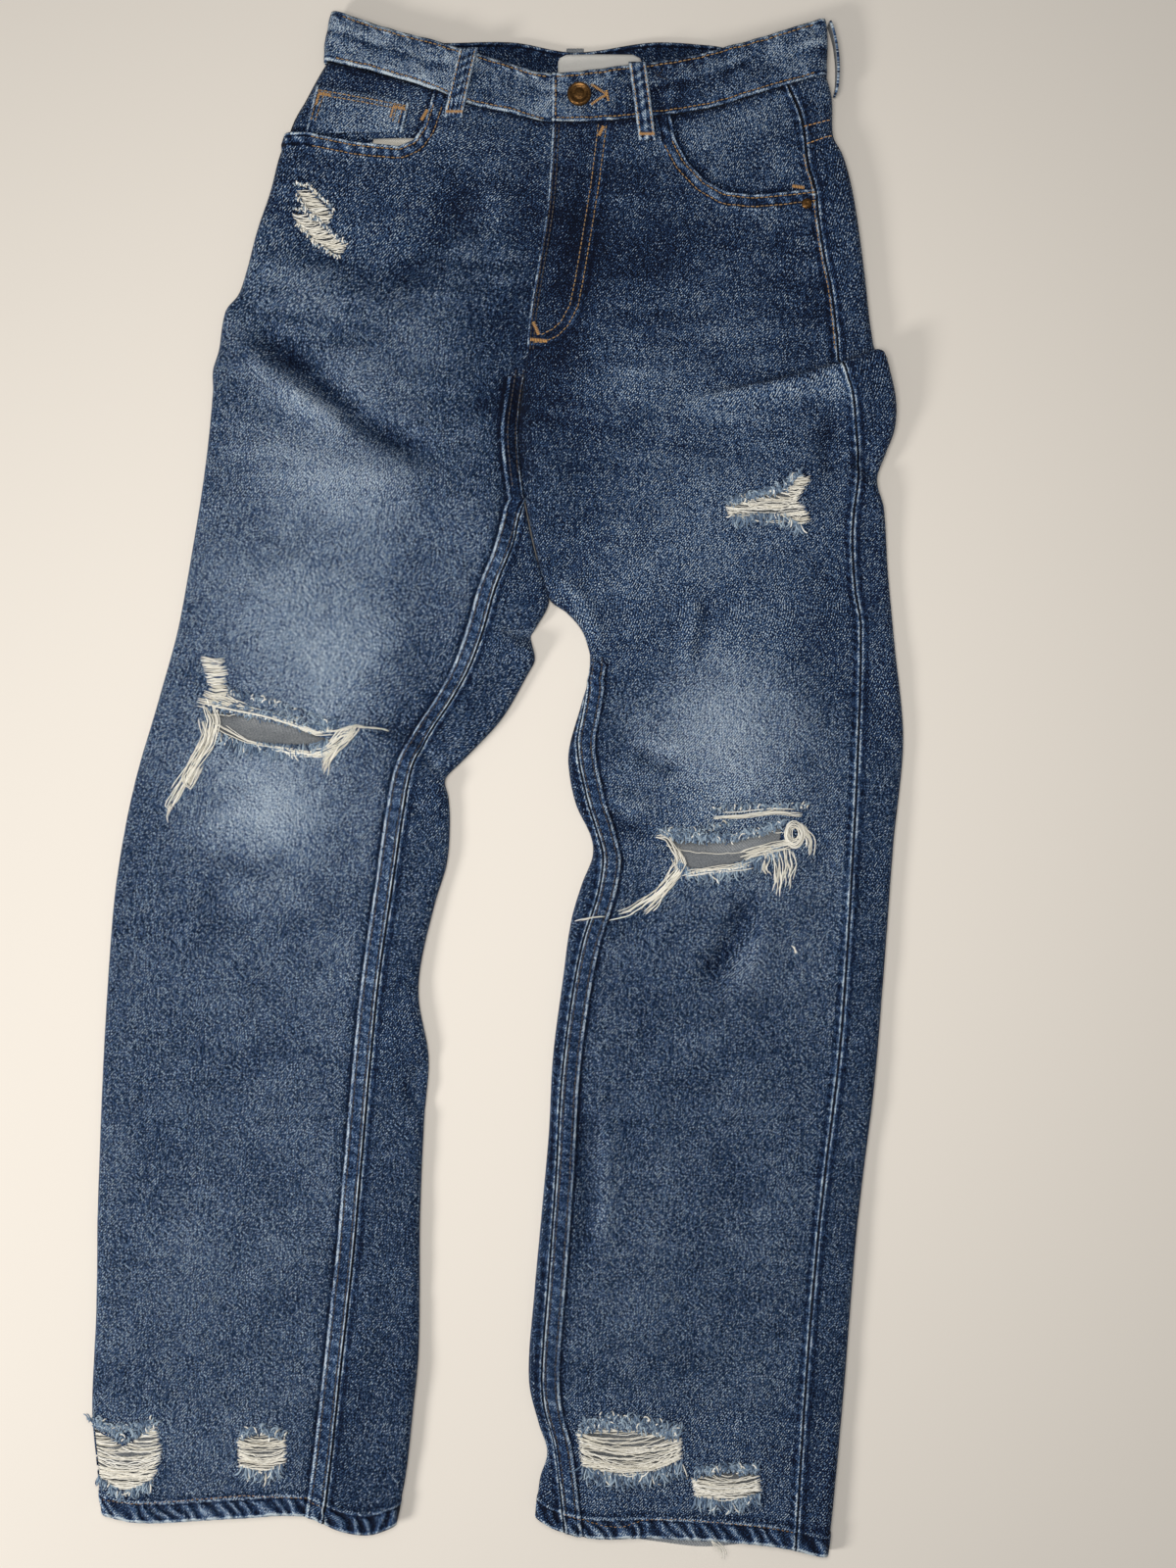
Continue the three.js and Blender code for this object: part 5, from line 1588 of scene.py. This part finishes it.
stitching = {}
for piece, stitches in sewn.items():
    lines, tones = zip(*stitches)
    stitching[piece] = tubes(f"{piece}_stitching", lines, STITCH_RADIUS, stitch_thread, 4, tones)


# ---------------------------------------------------------------- frayed threads

def wander(start, stop, count, sag, jitter, rise=0.0):
    """A thread from start to stop (x, y, z) that sags towards the hems and strays a little."""
    t = np.linspace(0, 1, count)
    line = start + (stop - start) * t[:, None]
    bulge = np.sin(math.pi * t)
    steps = rng.normal(0, jitter, (count, 3))
    steps[:, 2] *= 0.5
    stray = np.cumsum(steps, axis=0)
    stray -= stray[0] + (stray[-1] - stray[0]) * t[:, None]
    line = line + stray
    line[:, 1] -= sag * bulge
    line[:, 2] += rise * bulge
    return line


def crossings(outline, y):
    """The x places where a level line crosses an outline, in order."""
    found = []
    for (ax, ay), (bx, by) in zip(outline, outline[1:] + outline[:1]):
        if (ay > y) != (by > y):
            found.append(ax + (y - ay) * (bx - ax) / (by - ay))
    return sorted(found)


def z_at(x, y, leg):
    """Height of a front's surface as it was before it was cut."""
    return surface_z(GROUNDS[f"{leg}_front"], x, y) or 12.0


FRINGE_RADIUS, STRAND_RADIUS = 0.52, 0.37
# Each thread is (places, tone, radius)
threads = {"right": {"weft": [], "warp": []}, "left": {"weft": [], "warp": []}}


def weft_rows(leg, outline, share):
    """White wefts left across a hole, packed close and sagging together."""
    ys = [p[1] for p in outline]
    y = min(ys) + 0.3
    while y < max(ys):
        hits = crossings(outline, y)
        for x0, x1 in zip(hits[::2], hits[1::2]):
            if rng.random() > share or x1 - x0 < 1.5:
                continue
            a = np.array([max(x0 - rng.uniform(1, 3), float(side_right(y)) + 2), y, 0.0])
            b = np.array([x1 + rng.uniform(1, 3), y + rng.normal(0, 0.9), 0.0])
            a[2], b[2] = z_at(a[0], a[1], leg) + 0.1, z_at(b[0], b[1], leg) + 0.1
            count = max(6, int((b[0] - a[0]) / 1.8))
            sag = (b[0] - a[0]) * (0.07 + 0.08 * float(noise(x0 * 0.3, y, 5, 41))) * rng.uniform(0.3, 1.7)
            line = wander(a, b, count, sag, 0.3, rng.uniform(-0.6, 1.2))
            threads[leg]["weft"].append((line, rng.normal(0.0, 0.2), rng.uniform(0.3, 0.42)))
        y += rng.uniform(0.42, 0.68)


def fringe(leg, line, down, length, count, curl, white=0.1):
    """Short yarn ends curling off a torn edge, mostly blue warp: each bows up off the cloth and turns."""
    fine = resample(line, length_of(line) / max(count, 2))
    for place in fine:
        x, y = place + rng.normal(0, 0.7, 2)
        z = z_at(x, y, leg)
        reach = length * rng.uniform(0.4, 1.35)
        t = np.linspace(0, 1, 7)
        heading = (-1 if down else 1) * math.pi / 2 + rng.normal(0, 0.35)
        turns = heading + rng.choice([-1, 1]) * curl * rng.uniform(0.3, 1.3) * t * t
        step = reach / 6
        px = x + np.concatenate([[0], np.cumsum(np.cos(turns[:-1]))]) * step
        py = y + np.concatenate([[0], np.cumsum(np.sin(turns[:-1]))]) * step
        pz = z + 0.2 + rng.uniform(0.4, 1.9) * np.sin(math.pi * t * 0.85)
        kind = "weft" if rng.random() < white else "warp"
        threads[leg][kind].append((np.stack([px, py, pz], -1), rng.normal(0.14, 0.28), FRINGE_RADIUS))


def bundle(leg, line, strands, spread, jitter=0.3, tone=0.0, lift=0.9):
    """White wefts lying together along a given line, each going its own way a little."""
    base = resample(line, 2.4)
    count = len(base)
    side = left_of(base)
    t = np.linspace(0, 1, count)
    for _ in range(strands):
        sway = rng.normal(0, 0.7) + rng.normal(0, 0.6) * np.sin(math.pi * t + rng.uniform(0, 3))
        sway = sway + rng.normal(0, 0.3) * np.sin(2.6 * math.pi * t + rng.uniform(0, 6))
        kink = np.cumsum(rng.normal(0, jitter, (count, 2)), axis=0)
        kink -= kink[0] + (kink[-1] - kink[0]) * t[:, None]
        path = base + side * (spread * sway)[:, None] + kink * 0.5
        first = rng.integers(0, max(1, count // 8) + 1)
        last = count - rng.integers(0, max(1, count // 4) + 1)
        path = path[first:last]
        if len(path) < 3:
            continue
        heights = np.array([z_at(x, y, leg) for x, y in path])
        z = heights + lift + rng.uniform(-0.5, 1.3)
        z = z + 0.4 * np.sin(np.linspace(0, 5, len(path)) + rng.uniform(0, 6))
        threads[leg]["weft"].append((np.column_stack([path, z]), rng.normal(tone, 0.18), STRAND_RADIUS))


for leg, outline, share in TEARS:
    weft_rows(leg, outline, share)


def dress(leg, upper, lower, reach, many=1.0, white=0.06):
    """Blue fringes that curl up off a tear's upper edge and hang from its upper and lower edges."""
    fringe(leg, upper, False, reach * 0.85, int(length_of(upper) * 3.2 * many), 3.2, white)
    fringe(leg, offset_line(upper, 1.0), True, reach * 0.4, int(length_of(upper) * 0.9 * many), 2.0, white)
    fringe(leg, lower, True, reach * 1.15, int(length_of(lower) * 2.8 * many), 1.4, white)


# Wearer's right hip and left thigh: short tears filled with white wefts
dress("right", [(-140, 417), (-131, 417), (-113, 399)], [(-140, 412), (-130, 398), (-118, 390)], 2.5, 0.5,
      0.5)
dress("right", [(-142, 401), (-133, 400), (-105, 376)], [(-141, 393), (-126, 379), (-110, 369)], 2.5, 0.5,
      0.5)
dress("left", [(163, 195), (184, 201), (200, 204), (212, 216)],
      [(165, 188), (182, 189), (200, 189), (214, 181)], 7)

# Wearer's right knee
dress("right", [(-202, 52), (-177, 48), (-155, 44), (-129, 36), (-112, 40)],
      [(-194, 35), (-180, 30), (-155, 27), (-128, 27), (-118, 31)], 8)
fringe("right", [(-190, 62), (-170, 58), (-150, 52), (-130, 45), (-112, 40)], False, 5, 90, 3.0)
for ends in (
    ([(-210, 57), (-190, 53), (-166, 48), (-145, 42), (-126, 35), (-112, 36), (-98, 39)], 13, 1.5),
    ([(-206, 62), (-190, 57), (-176, 52)], 8, 1.6),
    ([(-200, 44), (-175, 30), (-160, 26), (-145, 23), (-121, 19), (-112, 22)], 5, 1.4),
    ([(-158, 25), (-142, 22), (-124, 20), (-108, 28)], 13, 1.8),
    ([(-204, 56), (-199, 44), (-203, 28), (-216, 8), (-226, -8), (-231, -16), (-226, -20)], 13, 2.6),
    ([(-206, 46), (-203, 34), (-212, 18), (-218, 4), (-216, -2), (-208, 14)], 9, 2.4),
    ([(-227, -12), (-231, -22), (-230, -29)], 3, 0.8),
    ([(-98, 41), (-102, 33), (-112, 25), (-119, 15), (-122, 6)], 13, 2.8),
    ([(-96, 38), (-108, 34), (-120, 24), (-130, 20)], 8, 2.4),
    ([(-100, 40), (-84, 39), (-72, 36)], 3, 0.5, 0.3, -0.1)):
    bundle("right", *ends)
for k in range(24):
    y = 88 - 1.15 * k
    bundle("right", [(-208 + 0.3 * k, y), (-198, y - 0.8), (-189 + 0.12 * k, y + 0.4)], 2, 0.6, 0.2, 0.0,
           0.35)

# Wearer's left knee
dress("left", [(116, -37), (126, -40), (145, -41), (164, -41), (178, -38), (202, -30)],
      [(127, -53), (136, -60), (156, -60), (182, -52), (200, -42)], 8)
fringe("left", [(152, -20), (175, -19), (195, -18), (219, -18)], False, 5, 120, 3.0)
bundle("left", [(152, -24), (175, -23), (195, -21), (215, -22)], 8, 1.4)
fringe("left", [(118, -35), (135, -36), (150, -34), (165, -30)], False, 5, 80, 3.0)
for ends in (
    ([(112, -36), (120, -38), (128, -50), (131, -58)], 8, 2.0),
    ([(130, -66), (146, -62), (164, -60), (184, -56)], 12, 1.8),
    ([(171, -52), (186, -48), (202, -43), (217, -38)], 12, 2.2),
    ([(125, -46), (130, -57), (122, -70), (110, -84), (98, -94)], 12, 3.0),
    ([(128, -52), (128, -62), (114, -76), (92, -90), (74, -94)], 9, 2.0),
    ([(76, -93), (66, -94), (54, -97)], 2, 0.3),
    ([(196, -46), (198, -58), (199, -70), (196, -80)], 10, 2.6),
    ([(204, -46), (207, -58), (203, -74)], 8, 2.4),
    ([(190, -50), (188, -60), (192, -68)], 6, 2.0)):
    bundle("left", *ends)
for k in range(6):
    turn = np.linspace(0, 2 * math.pi * 1.1, 16) + k
    knot = [(209 + (7 - 0.7 * k) * math.cos(t), -36 + (10 - k) * math.sin(t)) for t in turn]
    bundle("left", knot, 2, 1.2, 0.2, 0.0, 1.2)
for ends in (
    ([(214, -28), (220, -40), (218, -52)], 8, 2.2),
    ([(205, -97), (207, -103)], 2, 0.5, 0.2, 0.0, 0.3),
    ([(207, -114), (211, -119), (209, -124)], 3, 1.2, 0.3, 0.0, 0.3)):
    bundle("left", *ends)

# Hem tears
dress("right", [(-284, -452), (-262, -455), (-239, -450)], [(-281, -487), (-262, -497), (-243, -490)], 6)
fringe("right", [(-286, -448), (-272, -456), (-262, -464), (-250, -458), (-238, -450)], False, 7, 130, 3.0)
dress("right", [(-180, -459), (-165, -456), (-150, -460)], [(-179, -479), (-165, -483), (-150, -478)], 8)
dress("left", [(58, -456), (80, -452), (105, -455), (128, -460)],
      [(60, -480), (85, -485), (110, -483), (130, -476)], 9)
fringe("left", [(60, -452), (80, -447), (105, -450), (128, -456)], False, 7, 130, 3.0)
dress("left", [(139, -486), (160, -483), (184, -484)], [(140, -501), (165, -503), (184, -499)], 8)
bundle("left", [(150, -531), (158, -538), (160, -546)], 4, 1.6, 0.3, 0.0, 0.3)

frays = {}
for leg, kinds in threads.items():
    for kind, material in (("weft", weft_white), ("warp", warp_blue)):
        lines, tones, radii = zip(*kinds[kind])
        frays[leg, kind] = tubes(f"{leg}_front_{kind}", lines, np.array(radii), material, 4, tones)
# Two black ends of sewing thread at the second loop
black = [wander(np.array([110.0, 497, 0]), np.array([121.0, 491, 0]), 8, 1.0, 0.2),
         wander(np.array([112.0, 493, 0]), np.array([118.0, 499, 0]), 8, -1.0, 0.2)]
for line in black:
    line[:, 2] = band_top(0) + 0.4
loose_black = tubes("waistband_thread_ends", black, 0.3, stitch_thread, 5, [-0.6, -0.6])


# ---------------------------------------------------------------- each piece attached to the root, and the floor

def piece(thing, node, slot, *more):
    """Attach a piece to the root and hide the imported part called node; slot is not used. More are the
    stitching and threads on it, which go where it goes; their slots are not used.
    """
    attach(thing, "root")
    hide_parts(node)
    for extra, extra_slot in more:
        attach(extra, "root")
        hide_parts(node)
    return [extra for extra, _ in more]


def sheet(thing, node, slot, flat, area, rests, *more):
    """A flat piece of cloth, attached as a piece: its flat size and area in metres and what it rests on are
    not used.
    """
    extras = piece(thing, node, slot, *more)


bpy.ops.mesh.primitive_plane_add(size=1)
floor = bpy.context.object
floor.name = "studio_floor"
floor.scale = (6, 6, 1)
floor_look = Nodes("studio_floor_paper")
floor_place = floor_look.tree.nodes.new("ShaderNodeTexCoord").outputs["Object"]
floor_tone = floor_look.ramp(floor_look.noise(floor_place, 1.5, 2),
                             [(0.3, linear(226, 219, 209)), (0.7, linear(229, 222, 212))])
floor_look.put(floor_look.shader.inputs["Base Color"], floor_tone)
floor_look.shader.inputs["Roughness"].default_value = 0.95
floor.data.materials.append(floor_look.material)

TOPSTITCH = "topstitch_thread"
FRONT_FLAT, BACK_FLAT = (0.235, 1.06), (0.30, 1.06)
sheet(right_front, "right_front", "denim", FRONT_FLAT, 0.185, [floor], (stitching["right_front"], TOPSTITCH),
      (frays["right", "weft"], "frayed_weft"), (frays["right", "warp"], "frayed_warp"))
sheet(left_front, "left_front", "denim", FRONT_FLAT, 0.185, [floor], (stitching["left_front"], TOPSTITCH),
      (frays["left", "weft"], "frayed_weft"), (frays["left", "warp"], "frayed_warp"))
sheet(right_back, "right_back", "denim", BACK_FLAT, 0.24, [floor], (stitching["right_back"], TOPSTITCH))
sheet(left_back, "left_back", "denim", BACK_FLAT, 0.24, [floor], (stitching["left_back"], TOPSTITCH))
sheet(right_yoke, "right_yoke", "denim", (0.21, 0.06), 0.0105, [right_back])
sheet(left_yoke, "left_yoke", "denim", (0.21, 0.06), 0.0105, [left_back])
sheet(right_facing, "right_pocket_facing", "denim", (0.11, 0.065), 0.0066, [right_yoke])
sheet(left_facing, "left_pocket_facing", "denim", (0.11, 0.085), 0.009, [left_yoke])
sheet(coin, "coin_pocket", "denim", (0.07, 0.03), 0.0019, [right_facing])
sheet(bag, "right_pocket_bag", "pocket_cotton", (0.045, 0.032), 0.0012, [right_facing])
sheet(waistband_cloth, "waistband", "denim", (0.74, 0.04), 0.0285, [floor],
      (stitching["waistband"], TOPSTITCH),
      (loose_black, TOPSTITCH))
sheet(label_tape, "waist_label", "label_tape", (0.059, 0.026), None, [waistband_cloth])
sheet(loop_right, "belt_loop_front_right", "denim", (0.013, 0.052), None, [waistband_cloth])
sheet(loop_left, "belt_loop_front_left", "denim", (0.012, 0.058), None, [waistband_cloth])
sheet(loop_side, "belt_loop_side_left", "denim", (0.01, 0.052), None, [waistband_cloth])
sheet(loop_side_right, "belt_loop_side_right", "denim", (0.012, 0.051), None, [floor])
sheet(loop_back, "belt_loop_back", "denim", (0.012, 0.05), None, [floor])
sheet(pocket_right, "back_pocket_right", "denim", (0.135, 0.15), 0.0175, [floor])
sheet(pocket_left, "back_pocket_left", "denim", (0.135, 0.15), 0.0175, [floor])
piece(button, "waist_button", "antique_brass")
piece(rivet, "pocket_rivet", "antique_brass")


# ---------------------------------------------------------------- camera and light

def look_at(thing, place, target):
    thing.location = place
    thing.rotation_euler = (Vector(target) - Vector(place)).to_track_quat("-Z", "Y").to_euler()


scene = bpy.context.scene
scene.view_settings.view_transform = "Standard"
CLOTH_LEVEL = 0.008  # the camera looks straight down, and its height is above this
CAMERA_X, CAMERA_Y, CAMERA_HEIGHT, SEEN_HEIGHT = 0.0632, 0.0011, 1.15, 1.104
camera_data = bpy.data.cameras.new("overhead")
camera_data.sensor_fit = "VERTICAL"
camera_data.angle = 2 * math.atan(SEEN_HEIGHT / 2 / CAMERA_HEIGHT)
camera = bpy.data.objects.new("overhead", camera_data)
scene.collection.objects.link(camera)
camera.location = (CAMERA_X, CAMERA_Y, CAMERA_HEIGHT + CLOTH_LEVEL)
scene.camera = camera


def area_light(name, place, target, size, power, color):
    """A round soft light."""
    data = bpy.data.lights.new(name, "AREA")
    data.shape, data.size, data.energy, data.color = "DISK", size, power, color
    light = bpy.data.objects.new(name, data)
    scene.collection.objects.link(light)
    look_at(light, place, target)


area_light("window", (-1.45, -0.85, 1.0), (0, -0.1, 0), 0.5, 22, (1.0, 0.97, 0.93))
area_light("ceiling", (-0.02, 0.06, 1.12), (-0.02, 0.06, 0), 0.5, 8.4, (1.0, 0.975, 0.94))
world = bpy.data.worlds.new("room")
world.use_nodes = True
world.node_tree.nodes["Background"].inputs["Color"].default_value = (0.93, 0.96, 1.0, 1.0)
world.node_tree.nodes["Background"].inputs["Strength"].default_value = 0.22
scene.world = world
